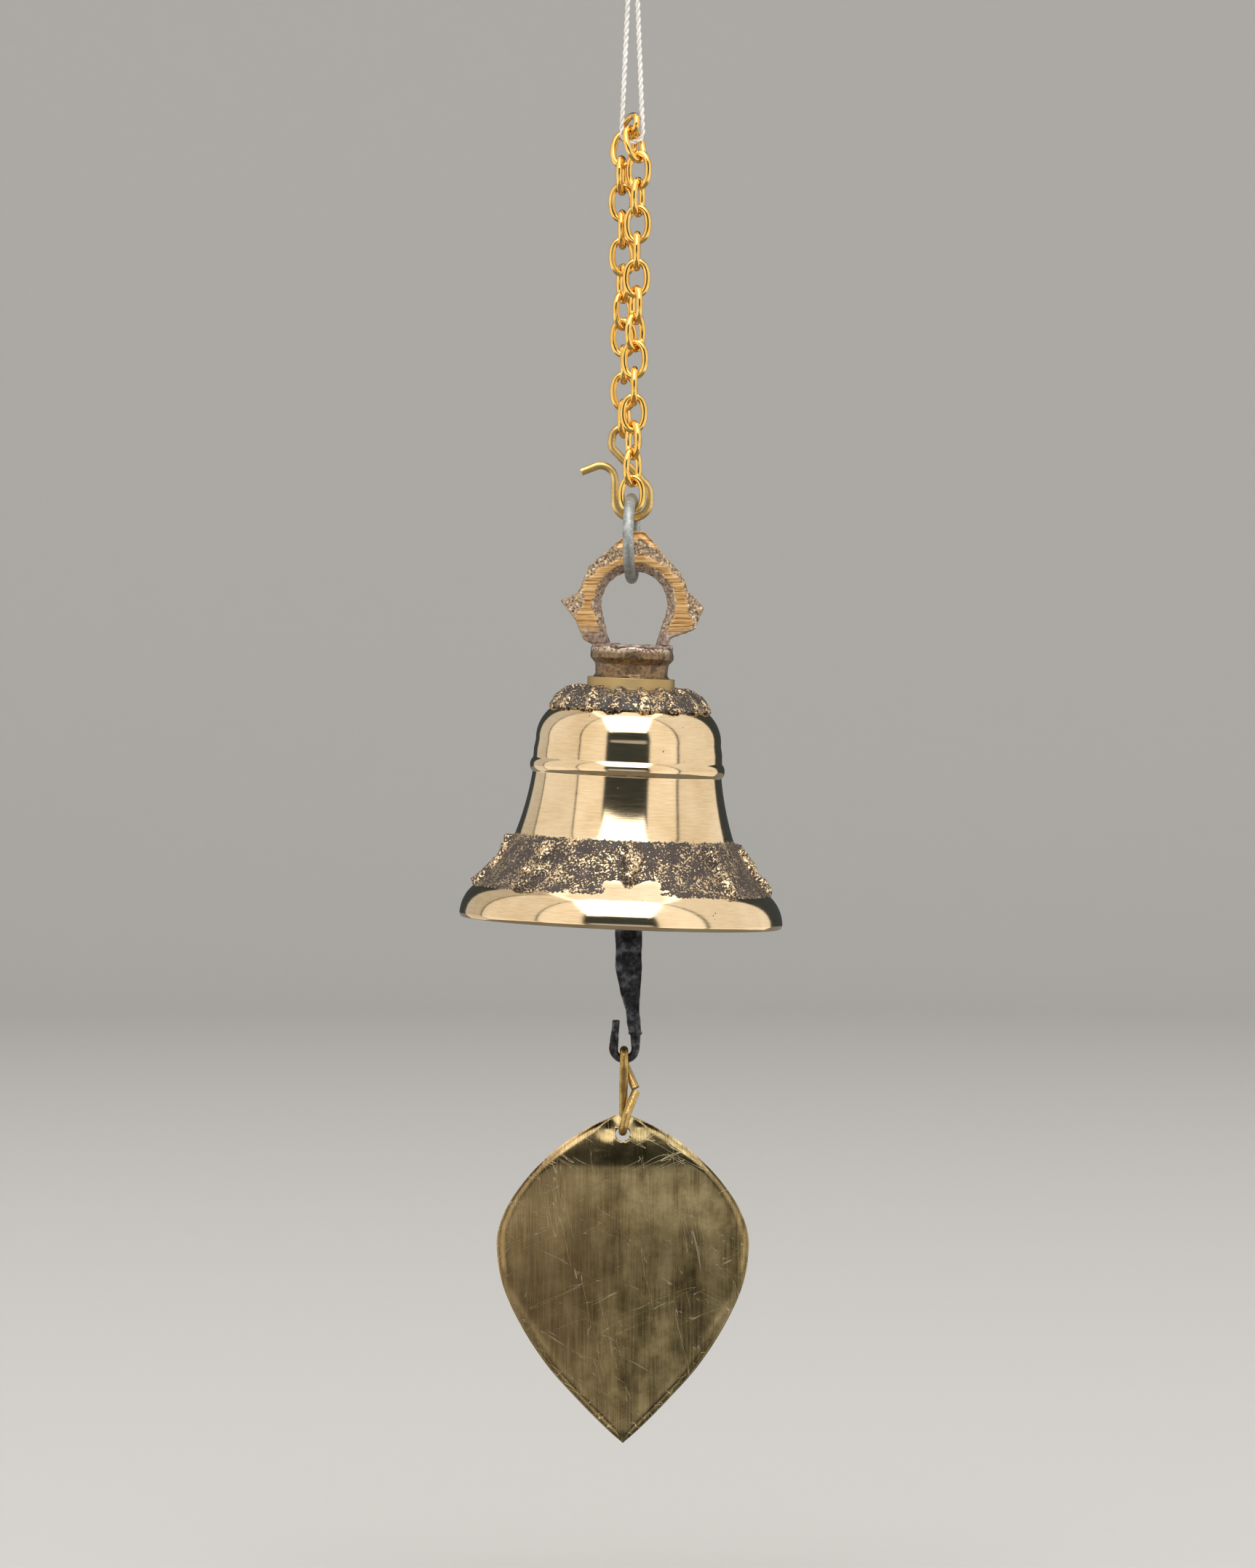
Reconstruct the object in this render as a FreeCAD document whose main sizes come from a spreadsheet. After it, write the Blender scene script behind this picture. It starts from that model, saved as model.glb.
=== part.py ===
import FreeCAD, Part
import Sketcher
import math
import os
from FreeCAD import Placement, Rotation, Vector

# A small temple bell on a doubled chain, hung from a loop of thread.
# Millimetres, +Z up, +Y away from the side the bell is looked at from. The origin is the knot that ties
# the thread loop, and everything hangs below it.

SIZES = [
    # thread loop
    ("thread_diameter", 0.8),
    ("knot_radius", 1.15),
    ("knot_tail", 3.0),
    ("thread_drop", 29.89),
    ("thread_bend_radius", 1.6),
    # plated oval chain links
    ("link_wire", 1.0),
    ("link_length", 6.24),
    ("link_width", 4.3),
    ("link_play", 0.08),
    # where the two chain runs start and end
    ("top_link_drop", 29.103),
    ("front_seat_reach", 1.116),
    ("back_seat_reach", 1.188),
    ("front_run_depth_low", 1.89),
    ("back_run_depth_low", 3.05),
    ("back_run_side_low", 1.33),
    # brass S-hook
    ("hook_wire", 1.2),
    ("hook_eye_radius", 1.76),
    ("hook_bend_radius", 2.6),
    ("hook_ring_gap", 0.4),
    # iron ring
    ("ring_wire", 1.7),
    ("ring_diameter", 14.0),
    ("ring_play", 0.22),
    # filed crown loop and the collar it is brazed on
    ("crown_width", 22.1),
    ("crown_height", 17.7),
    ("crown_thickness", 4.8),
    ("crown_hole_radius", 5.06),
    ("crown_hole_height", 6.38),
    ("crown_foot_gap", 3.15),
    ("crown_bevel", 1.2),
    ("crown_overrun", 1.0),
    ("crown_ring_play", 0.22),
    ("braze_thickness", 0.3),
    ("collar_height", 4.7),
    ("collar_radius", 6.45),
    # bell casting, heights above the mouth
    ("bell_height", 38.3),
    ("lip_radius", 25.05),
    ("rim_face", 1.7),
    ("band_low_radius", 23.1),
    ("band_low_height", 5.2),
    ("band_top_radius", 16.8),
    ("band_top_height", 13.9),
    ("waist_radius", 14.6),
    ("waist_height", 23.3),
    ("bead_radius", 15.05),
    ("bead_height", 2.2),
    ("shoulder_radius", 14.3),
    ("shoulder_height", 28.3),
    ("petal_radius", 12.3),
    ("petal_low_height", 33.4),
    ("flange_radius", 6.75),
    ("flange_height", 1.1),
    ("bell_wall", 2.0),
    ("crown_plate", 4.0),
    ("bell_tilt", 2.45),
    # iron staple inside the bell
    ("staple_wire", 1.5),
    ("staple_half_span", 3.5),
    ("staple_drop", 5.0),
    ("staple_seat", 1.6),
    # forged iron clapper
    ("clapper_width", 4.26),
    ("clapper_thickness", 1.2),
    ("clapper_eye_play", 0.35),
    ("clapper_reach", 35.6),
    ("clapper_taper", 10.4),
    ("clapper_hook_wire", 1.25),
    ("clapper_hook_radius", 1.75),
    ("clapper_hook_drop", 4.6),
    # brass link and leaf
    ("leaf_link_wire", 1.3),
    ("leaf_link_drop", 12.6),
    ("leaf_link_play", 0.1),
    ("leaf_width", 39.0),
    ("leaf_length", 51.2),
    ("leaf_thickness", 0.4),
    ("leaf_hole_radius", 1.15),
    ("leaf_hole_depth", 3.3),
]

# Turn of each link about the run, in degrees: 0 faces forward and 90 is edge on. The two runs were one
# twisted chain, so both carry the same pattern.
FRONT_TURNS = [45.8, -25, 68, -9.5, 88, 0, -70, 48, -14.7, 90, 0, -63, 54.5, -8]
BACK_TURNS = [-4.7, 75.7, -10, 83.5, 5, -71, 47, -15.4, 88, 0, 70.6]

doc = FreeCAD.newDocument("temple_bell")
sheet = doc.addObject("Spreadsheet::Sheet", "sizes")
for row, (alias, number) in enumerate(SIZES, start=1):
    sheet.set(f"A{row}", alias)
    sheet.set(f"B{row}", str(number))
    sheet.setAlias(f"B{row}", alias)
doc.recompute()


def size(alias):
    """The driving dimension of that name, in millimetres or degrees."""
    return float(sheet.get(alias))


def total(terms):
    """The sum of factor times dimension over (factor, alias) pairs."""
    return sum(factor * size(alias) for factor, alias in terms)


def formula(terms):
    """The same sum as an expression on the sheet."""
    return " + ".join(f"{factor} * sizes.{alias}" for factor, alias in terms)


parts = []


def finish(item, node, placement=None):
    """Names a sub-part, puts it in place and lists it for writing."""
    item.Label = node
    if placement is not None:
        item.Placement = placement
    parts.append((node, item))
    return item


def new_sketch(body, name, role):
    sketch = body.newObject("Sketcher::SketchObject", name)
    origin_plane = next(f for f in body.Origin.OriginFeatures if f.Role == role)
    sketch.AttachmentSupport = [(origin_plane, "")]
    sketch.MapMode = "FlatFace"
    return sketch


def pin_point(sketch, geometry, point, across, up):
    """Ties one sketch point to the sheet, each coordinate a list of (factor, alias) terms."""
    for kind, terms in (("DistanceX", across), ("DistanceY", up)):
        index = sketch.addConstraint(
            Sketcher.Constraint(kind, -1, 1, geometry, point, total(terms))
        )
        if terms:
            sketch.setExpression(f"Constraints[{index}]", formula(terms))


def bound_outline(sketch, corners, arcs=None):
    """A closed outline through bound corners. arcs maps an edge's number to the point the arc passes."""
    arcs = arcs or {}
    points = [Vector(total(across), total(up), 0) for across, up in corners]
    count = len(points)
    starts = []
    ends = []
    for i in range(count):
        start, end = points[i], points[(i + 1) % count]
        if i in arcs:
            middle = Vector(total(arcs[i][0]), total(arcs[i][1]), 0)
            curve = Part.Arc(start, middle, end)
            edge = sketch.addGeometry(curve, False)
            turned = (middle - start).cross(end - start).z > 0
            starts.append((edge, 1 if turned else 2))
            ends.append((edge, 2 if turned else 1))
        else:
            edge = sketch.addGeometry(Part.LineSegment(start, end), False)
            starts.append((edge, 1))
            ends.append((edge, 2))
    for i in range(count):
        following = starts[(i + 1) % count]
        sketch.addConstraint(Sketcher.Constraint("Coincident", *ends[i], *following))
    for (edge, point), (across, up) in zip(starts, corners):
        pin_point(sketch, edge, point, across, up)


def rounded_path(points, radii, closed=False):
    """A wire of straight runs joined by tangent arcs, one radius at each inner point."""
    count = len(points)
    inner = range(count) if closed else range(1, count - 1)
    cuts = {}
    for i in inner:
        before = (points[i - 1] - points[i]).normalize()
        after = (points[(i + 1) % count] - points[i]).normalize()
        half_turn = (math.pi - before.getAngle(after)) / 2
        step = radii[i] * math.tan(half_turn)
        towards = (before + after).normalize()
        depth = radii[i] * (1 / math.cos(half_turn) - 1)
        start = points[i] + before * step
        end = points[i] + after * step
        cuts[i] = (start, points[i] + towards * depth, end)
    edges = []
    for i in range(count if closed else count - 1):
        following = (i + 1) % count
        start = cuts[i][2] if i in cuts else points[i]
        end = cuts[following][0] if following in cuts else points[following]
        if (end - start).Length > 1e-6:
            edges.append(Part.LineSegment(start, end).toShape())
        if following in cuts:
            edges.append(Part.Arc(*cuts[following]).toShape())
    return Part.Wire(edges)


def round_wire(name, path, diameter):
    """Round wire bent along a path: a sweep whose section follows the sheet."""
    spine = doc.addObject("Part::Feature", f"{name}_path")
    spine.Shape = path
    section = doc.addObject("Part::Circle", f"{name}_section")
    section.setExpression("Radius", f"sizes.{diameter} / 2")
    first = path.OrderedEdges[0]
    start = first.valueAt(first.FirstParameter)
    along = first.tangentAt(first.FirstParameter)
    if first.Orientation == "Reversed":
        start = first.valueAt(first.LastParameter)
        along = first.tangentAt(first.LastParameter) * -1
    section.Placement = Placement(start, Rotation(Vector(0, 0, 1), along))
    sweep = doc.addObject("Part::Sweep", name)
    sweep.Sections = [section]
    sweep.Spine = (spine, [f"Edge{i + 1}" for i in range(len(path.Edges))])
    sweep.Solid = True
    sweep.Frenet = False
    return sweep


# ---------------------------------------------------------------- layout of what hangs on what
LINK_PITCH = size("link_length") - 2 * size("link_wire") - size("link_play")
LINK_BARS = size("link_length") - size("link_wire")
CROSSING = size("link_wire") + size("link_play")
RING_RADIUS = (size("ring_diameter") - size("ring_wire")) / 2
FRONT_COUNT = len(FRONT_TURNS)
BACK_COUNT = len(BACK_TURNS)

# The top link lies over on the thread: its lower side bar runs up toward the front, and both runs
# are seated on that bar, one each side of the thread.
BAR_TURN = math.radians(-64.0)
BAR_RISE = math.radians(15.24)
BAR_ROLL = math.radians(-10.83)
bar_middle = Vector(-0.644, 0.782, -size("top_link_drop"))
bar_along = Vector(
    math.cos(BAR_TURN) * math.cos(BAR_RISE),
    math.sin(BAR_TURN) * math.cos(BAR_RISE),
    math.sin(BAR_RISE),
)
bar_up = (Vector(0, 0, 1) - bar_along * bar_along.z).normalize()
bar_side = bar_along.cross(bar_up)
bar_across = bar_up * math.cos(BAR_ROLL) + bar_side * math.sin(BAR_ROLL)
front_seat = bar_middle + bar_along * size("front_seat_reach")
back_seat = bar_middle - bar_along * size("back_seat_reach")
FRONT_LEAN = Vector(0.272, -0.163, -1).normalize()
BACK_LEAN = Vector(-0.143, -0.188, -1).normalize()


def run_links(seat, first_lean, foot_side, foot_depth, turns):
    """Centre and rotation of each link of a run: the first leans its own way, the rest run straight."""
    second = seat + first_lean * LINK_PITCH
    reach = LINK_PITCH * (len(turns) - 1)
    side = foot_side - second.x
    depth = foot_depth - second.y
    fall = math.sqrt(reach**2 - side**2 - depth**2)
    down = Vector(side, depth, -fall) * (1 / reach)
    places = []
    for index, turn in enumerate(turns):
        way = down if index else first_lean
        lean = Rotation(Vector(0, 0, -1), way)
        middle = seat + way * (LINK_BARS / 2 - CROSSING)
        places.append(Placement(middle, lean.multiply(Rotation(Vector(0, 0, 1), turn))))
        seat = seat + way * LINK_PITCH
    return places, seat


front_places, front_foot = run_links(
    front_seat, FRONT_LEAN, -0.22, -size("front_run_depth_low"), FRONT_TURNS
)
back_places, back_foot = run_links(
    back_seat, BACK_LEAN, -size("back_run_side_low"), size("back_run_depth_low"), BACK_TURNS
)

# the front run's last link holds the iron ring from inside its top
seat_radius = (
    RING_RADIUS - (size("ring_wire") + size("link_wire")) / 2 - size("ring_play")
)
ring_centre = Vector(
    -0.2, 0, front_foot.z - math.sqrt(seat_radius**2 - front_foot.y**2)
)
RING_TURN = -5.0

# the crown loop's hole rests on the ring's lowest stretch, a little to one side
crown_hang = (
    size("crown_hole_radius") - size("ring_wire") / 2 - size("crown_ring_play")
)
HANG_ANGLE = math.radians(6)
hole_centre = ring_centre + Vector(
    crown_hang * math.sin(HANG_ANGLE),
    0,
    -RING_RADIUS - crown_hang * math.cos(HANG_ANGLE),
)
braze_top = size("bell_height") + size("collar_height") + size("braze_thickness")
tilt = Rotation(Vector(0, 1, 0), size("bell_tilt"))
mouth = hole_centre - tilt.multVec(
    Vector(0, 0, braze_top + size("crown_hole_height"))
)
bell_place = Placement(mouth, tilt)


# ---------------------------------------------------------------- thread loop and its knot
def hanging_thread():
    """A loop of thread, down from the knot, round under the top link and back up."""
    bend = size("thread_bend_radius")
    side = -0.13
    depth = -0.139
    bottom = -size("thread_drop")
    half = bend + size("link_play")
    leg_top = Vector(size("thread_diameter") / 2 + 0.03, 0, -0.6 * size("knot_radius"))
    points = [
        Vector(-leg_top.x, 0, leg_top.z),
        Vector(side - half, depth, bottom),
        Vector(side + half, depth, bottom),
        Vector(leg_top.x, 0, leg_top.z),
    ]
    radius = 0.985 * bend
    print("thread bend radius", round(radius, 3))
    path = rounded_path(points, [0, radius, radius, 0])
    return finish(round_wire("thread_loop", path, "thread_diameter"), "hanging_thread")


def thread_knot(thread):
    """The overhand knot that closes the loop, with its two cut tails."""
    ball = doc.addObject("Part::Sphere", "knot_ball")
    ball.setExpression("Radius", "sizes.knot_radius")
    tails = []
    for number, lean in enumerate((-14, 11), start=1):
        tail = doc.addObject("Part::Cylinder", f"knot_tail_{number}")
        tail.setExpression("Radius", "sizes.thread_diameter / 2")
        tail.setExpression("Height", "sizes.knot_tail")
        tail.Placement = Placement(Vector(0, 0, 0), Rotation(Vector(0, 1, 0), lean))
        tails.append(tail)
    lump = doc.addObject("Part::MultiFuse", "knot_lump")
    lump.Shapes = [ball, *tails]
    knot = doc.addObject("Part::Cut", "knot")
    knot.Base = lump
    knot.Tool = thread
    return finish(knot, "thread_knot")


# ---------------------------------------------------------------- chain
def chain_link(node, place):
    """One oval link of round wire, butt-closed: a pipe along a long round-ended ring."""
    body = doc.addObject("PartDesign::Body", node)
    spine = new_sketch(body, f"{node}_spine", "XZ_Plane")
    bow = (size("link_width") - size("link_wire")) / 2
    reach = LINK_BARS / 2 - bow
    up = Vector(0, reach, 0)
    out = Vector(bow, 0, 0)
    toward = Vector(0, 0, 1)
    top = spine.addGeometry(
        Part.ArcOfCircle(Part.Circle(up, toward, bow), 0, math.pi), False
    )
    left = spine.addGeometry(Part.LineSegment(up - out, -up - out), False)
    low = spine.addGeometry(
        Part.ArcOfCircle(Part.Circle(-up, toward, bow), math.pi, 2 * math.pi), False
    )
    right = spine.addGeometry(Part.LineSegment(out - up, out + up), False)
    joins = [(top, 2, left, 1), (left, 2, low, 1), (low, 2, right, 1), (right, 2, top, 1)]
    for join in joins:
        spine.addConstraint(Sketcher.Constraint("Tangent", *join))
    spine.addConstraint(Sketcher.Constraint("Equal", top, low))
    spine.addConstraint(Sketcher.Constraint("PointOnObject", top, 3, -2))
    spine.addConstraint(Sketcher.Constraint("PointOnObject", low, 3, -2))
    reach_text = "(sizes.link_length - sizes.link_width) / 2"
    high = spine.addConstraint(Sketcher.Constraint("DistanceY", -1, 1, top, 3, reach))
    spine.setExpression(f"Constraints[{high}]", reach_text)
    deep = spine.addConstraint(Sketcher.Constraint("DistanceY", low, 3, -1, 1, reach))
    spine.setExpression(f"Constraints[{deep}]", reach_text)
    wide = spine.addConstraint(Sketcher.Constraint("Radius", top, bow))
    spine.setExpression(
        f"Constraints[{wide}]", "(sizes.link_width - sizes.link_wire) / 2"
    )
    section = new_sketch(body, f"{node}_section", "XY_Plane")
    disc = section.addGeometry(
        Part.Circle(out, toward, size("link_wire") / 2), False
    )
    section.addConstraint(Sketcher.Constraint("PointOnObject", disc, 3, -1))
    offset = section.addConstraint(
        Sketcher.Constraint("DistanceX", -1, 1, disc, 3, bow)
    )
    section.setExpression(
        f"Constraints[{offset}]", "(sizes.link_width - sizes.link_wire) / 2"
    )
    thick = section.addConstraint(
        Sketcher.Constraint("Radius", disc, size("link_wire") / 2)
    )
    section.setExpression(f"Constraints[{thick}]", "sizes.link_wire / 2")
    pipe = body.newObject("PartDesign::AdditivePipe", f"{node}_wire")
    pipe.Profile = section
    pipe.Spine = (spine, [f"Edge{i}" for i in range(1, 5)])
    for sketch in (spine, section):
        sketch.Visibility = False
    return finish(body, node, place)


def top_link():
    """The link that rests on the thread, lying over with both runs hanging from its lower bar."""
    middle = bar_middle + bar_across * ((size("link_width") - size("link_wire")) / 2)
    facing = Rotation(bar_across, Vector(0, 0, 0), bar_along, "ZXY")
    return chain_link("top_chain_link", Placement(middle, facing))


# ---------------------------------------------------------------- S-hook at the end of the back run
def s_hook():
    """Bent brass wire: a closed eye on the back run, a deep bend in the ring and a free cut end."""
    eye = size("hook_eye_radius")
    bend = size("hook_bend_radius")
    cross = (size("hook_wire") + size("link_wire")) / 2 + size("link_play")
    top = back_foot.z + cross
    depth = back_foot.y
    eye_x = back_foot.x
    eye_z = top - eye
    ring_bar = math.sqrt(RING_RADIUS**2 - depth**2)
    slope = RING_RADIUS / ring_bar
    low = (
        ring_centre.z
        + ring_bar
        - slope * (size("ring_wire") + size("hook_wire")) / 2
        - size("hook_ring_gap")
    )
    bend_x = ring_centre.x
    points = [
        Vector(eye_x + 0.6 * eye, depth, eye_z - 1.05 * eye),
        Vector(eye_x + 1.25 * eye, depth, eye_z - 0.55 * eye),
        Vector(eye_x + eye, depth, top),
        Vector(eye_x - eye, depth, top),
        Vector(eye_x - 1.15 * eye, depth, eye_z - 0.7 * eye),
        Vector(bend_x + 1.08 * bend, depth, low + 1.75 * bend),
        Vector(bend_x + 1.08 * bend, depth, low),
        Vector(bend_x - bend, depth, low),
        Vector(bend_x - bend, depth, low + 3.5 * bend),
        Vector(bend_x - 3.0 * bend, depth, low + 2.72 * bend),
    ]
    radii = [0, 0.8, 1.55, 1.55, 1.1, 1.9, 2.3, 2.3, 1.9, 0]
    return finish(
        round_wire("s_hook_wire", rounded_path(points, radii), "hook_wire"), "s_hook"
    )


# ---------------------------------------------------------------- iron ring
def iron_ring():
    ring = doc.addObject("Part::Torus", "iron_ring")
    ring.setExpression("Radius1", "(sizes.ring_diameter - sizes.ring_wire) / 2")
    ring.setExpression("Radius2", "sizes.ring_wire / 2")
    upright = Rotation(Vector(0, 0, 1), RING_TURN).multiply(
        Rotation(Vector(0, 1, 0), 90)
    )
    return finish(ring, "iron_ring", Placement(ring_centre, upright))


# ---------------------------------------------------------------- crown loop, braze and collar
def crown_loop():
    """A cast and filed arch with pointed sides, standing on two feet that are brazed to the collar."""
    body = doc.addObject("PartDesign::Body", "crown_loop")
    outline = new_sketch(body, "crown_outline", "XZ_Plane")
    wide = "crown_width"
    high = "crown_height"
    shares = [
        (0.252, 0.0),
        (0.262, 0.075),
        (0.43, 0.16),
        (0.485, 0.36),
        (0.374, 0.49),
        (0.328, 0.63),
        (0.158, 0.85),
        (0.045, 1.0),
        (-0.03, 0.995),
        (-0.129, 0.905),
        (-0.330, 0.67),
        (-0.398, 0.44),
        (-0.515, 0.36),
        (-0.41, 0.21),
        (-0.344, 0.03),
        (-0.29, 0.0),
    ]
    corners = [([(a, wide)] if a else [], [(b, high)] if b else []) for a, b in shares]
    bound_outline(outline, corners)
    slab = body.newObject("PartDesign::Pad", "crown_slab")
    slab.Profile = outline
    slab.setExpression("Length", "sizes.crown_thickness")
    slab.Midplane = True
    doc.recompute()

    hole = new_sketch(body, "crown_hole", "XZ_Plane")
    radius = size("crown_hole_radius")
    gap = size("crown_foot_gap")
    middle = Vector(0, size("crown_hole_height"), 0)
    overrun = size("crown_overrun")
    foot = Vector(gap, -overrun, 0)
    reach = (foot - middle).Length
    swing = math.atan2(foot.y - middle.y, foot.x - middle.x) + math.acos(radius / reach)
    touch = middle + Vector(math.cos(swing), math.sin(swing), 0) * radius
    mirror = Vector(-touch.x, touch.y, 0)
    arch = hole.addGeometry(
        Part.ArcOfCircle(
            Part.Circle(middle, Vector(0, 0, 1), radius), swing, math.pi - swing
        ),
        False,
    )
    left = hole.addGeometry(Part.LineSegment(mirror, Vector(-gap, -overrun, 0)), False)
    low = hole.addGeometry(Part.LineSegment(Vector(-gap, -overrun, 0), foot), False)
    right = hole.addGeometry(Part.LineSegment(foot, touch), False)
    hole.addConstraint(Sketcher.Constraint("Tangent", arch, 2, left, 1))
    hole.addConstraint(Sketcher.Constraint("Coincident", left, 2, low, 1))
    hole.addConstraint(Sketcher.Constraint("Coincident", low, 2, right, 1))
    hole.addConstraint(Sketcher.Constraint("Tangent", right, 2, arch, 1))
    bore = hole.addConstraint(Sketcher.Constraint("Radius", arch, radius))
    hole.setExpression(f"Constraints[{bore}]", "sizes.crown_hole_radius")
    pin_point(hole, arch, 3, [], [(1, "crown_hole_height")])
    pin_point(hole, low, 1, [(-1, "crown_foot_gap")], [(-1, "crown_overrun")])
    pin_point(hole, low, 2, [(1, "crown_foot_gap")], [(-1, "crown_overrun")])
    cut = body.newObject("PartDesign::Pocket", "crown_opening")
    cut.Profile = hole
    cut.Type = "ThroughAll"
    cut.Midplane = True
    doc.recompute()

    half = size("crown_thickness") / 2
    rims = []
    for number, edge in enumerate(cut.Shape.Edges, start=1):
        middle_point = edge.valueAt((edge.FirstParameter + edge.LastParameter) / 2)
        on_face = abs(abs(middle_point.y) - half) < 1e-4
        centre = Vector(0, middle_point.y, size("crown_hole_height"))
        inside = (middle_point - centre).Length < 1.35 * radius
        if on_face and inside and middle_point.z > 0.05:
            rims.append(f"Edge{number}")
    bevel = body.newObject("PartDesign::Chamfer", "crown_hole_bevel")
    bevel.Base = (cut, rims)
    bevel.setExpression("Size", "sizes.crown_bevel")
    lift = tilt.multVec(Vector(0, 0, braze_top))
    return finish(body, "crown_loop", Placement(mouth + lift, tilt))


def braze_fillet():
    """The thin bed of braze between the collar and the feet of the crown loop."""
    bed = doc.addObject("Part::Cylinder", "braze_bed")
    bed.setExpression("Radius", "sizes.collar_radius * 0.96")
    bed.setExpression("Height", "sizes.braze_thickness")
    lift = tilt.multVec(Vector(0, 0, braze_top - size("braze_thickness")))
    return finish(bed, "braze_bed", Placement(mouth + lift, tilt))


def crown_collar():
    """The turned brass collar on top of the bell, waisted below a ridge."""
    body = doc.addObject("PartDesign::Body", "crown_collar")
    outline = new_sketch(body, "collar_outline", "XZ_Plane")
    ridge = "collar_radius"
    high = "collar_height"
    corners = [
        ([], []),
        ([(0.93, ridge)], []),
        ([(0.86, ridge)], [(0.1, high)]),
        ([(0.88, ridge)], [(0.45, high)]),
        ([(1, ridge)], [(0.64, high)]),
        ([(0.98, ridge)], [(0.94, high)]),
        ([(0.96, ridge)], [(1, high)]),
        ([], [(1, high)]),
    ]
    bound_outline(outline, corners)
    turned = body.newObject("PartDesign::Revolution", "collar_turned")
    turned.Profile = outline
    turned.ReferenceAxis = (outline, ["V_Axis"])
    turned.Angle = 360
    lift = tilt.multVec(Vector(0, 0, size("bell_height")))
    return finish(body, "crown_collar", Placement(mouth + lift, tilt))


# ---------------------------------------------------------------- bell casting
def bell_shell():
    """One brass casting: flange, petal band, shoulder, bead, waist, relief band and flared lip."""
    body = doc.addObject("PartDesign::Body", "bell_shell")
    outline = new_sketch(body, "bell_profile", "XZ_Plane")
    wall = (-1, "bell_wall")
    corners = [
        ([(1, "lip_radius")], []),
        ([(1, "lip_radius")], [(1, "rim_face")]),
        ([(1, "band_low_radius")], [(1, "band_low_height")]),
        ([(1, "band_top_radius")], [(1, "band_top_height")]),
        ([(1, "waist_radius")], [(1, "waist_height")]),
        ([(1, "waist_radius")], [(1, "waist_height"), (1, "bead_height")]),
        ([(1, "shoulder_radius")], [(1, "shoulder_height")]),
        ([(0.97, "petal_radius")], [(1, "petal_low_height")]),
        ([(1, "petal_radius")], [(1, "petal_low_height")]),
        ([(1, "flange_radius")], [(1, "bell_height"), (-1, "flange_height")]),
        ([(1, "flange_radius")], [(1, "bell_height")]),
        ([], [(1, "bell_height")]),
        ([], [(1, "bell_height"), (-1, "crown_plate")]),
        ([(0.75, "petal_radius")], [(1, "bell_height"), (-1, "crown_plate")]),
        ([(1, "shoulder_radius"), wall], [(1, "shoulder_height")]),
        ([(1, "waist_radius"), wall], [(1, "waist_height")]),
        ([(1, "band_top_radius"), wall], [(1, "band_top_height")]),
        ([(1, "band_low_radius"), wall], [(1, "band_low_height")]),
        ([(1, "lip_radius"), wall], []),
    ]
    flare = ([(0.49, "band_low_radius"), (0.49, "band_top_radius")],
             [(0.47, "band_low_height"), (0.47, "band_top_height")])
    waist = ([(0.49, "band_top_radius"), (0.5, "waist_radius")],
             [(0.49, "band_top_height"), (0.49, "waist_height")])
    bead = ([(1, "bead_radius")], [(1, "waist_height"), (0.5, "bead_height")])
    shoulder = ([(0.53, "shoulder_radius"), (0.5, "petal_radius")],
                [(0.5, "shoulder_height"), (0.51, "petal_low_height")])
    petals = ([(0.62, "petal_radius"), (0.5, "flange_radius")],
              [(0.5, "petal_low_height"), (0.51, "bell_height")])
    arcs = {2: flare, 3: waist, 4: bead, 6: shoulder, 8: petals}
    bound_outline(outline, corners, arcs)
    cast = body.newObject("PartDesign::Revolution", "bell_turned")
    cast.Profile = outline
    cast.ReferenceAxis = (outline, ["V_Axis"])
    cast.Angle = 360
    doc.recompute()

    seats = new_sketch(body, "staple_seats", "XY_Plane")
    for side in (-1, 1):
        centre = Vector(side * size("staple_half_span"), 0, 0)
        ring = seats.addGeometry(
            Part.Circle(centre, Vector(0, 0, 1), size("staple_wire") / 2), False
        )
        pin_point(seats, ring, 3, [(side, "staple_half_span")], [])
        bore = seats.addConstraint(
            Sketcher.Constraint("Radius", ring, size("staple_wire") / 2)
        )
        seats.setExpression(f"Constraints[{bore}]", "sizes.staple_wire / 2")
    drill = body.newObject("PartDesign::Pocket", "staple_bores")
    drill.Profile = seats
    drill.Reversed = True
    drill.setExpression(
        "Length", "sizes.bell_height - sizes.crown_plate + sizes.staple_seat"
    )
    doc.recompute()
    print("bell bores remove", round(cast.Shape.Volume - drill.Shape.Volume, 3))
    return finish(body, "bell_shell", bell_place)


# ---------------------------------------------------------------- staple, clapper and what hangs on it
staple_bar = bell_place.multVec(
    Vector(0, 0, size("bell_height") - size("crown_plate") - size("staple_drop"))
)


def clapper_staple():
    """An iron staple driven up into the bell's crown: two legs and the bar that the clapper swings on."""
    ceiling = size("bell_height") - size("crown_plate")
    high = ceiling + size("staple_seat")
    low = ceiling - size("staple_drop")
    span = size("staple_half_span")
    points = [
        Vector(-span, 0, high),
        Vector(-span, 0, low),
        Vector(span, 0, low),
        Vector(span, 0, high),
    ]
    path = rounded_path(points, [0, size("staple_wire") * 0.8, size("staple_wire") * 0.8, 0])
    wire = round_wire("staple_wire_bent", path, "staple_wire")
    return finish(wire, "clapper_staple", bell_place)


hook_low = staple_bar.z - size("clapper_reach") - size("clapper_taper") - size("clapper_hook_drop")


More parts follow.
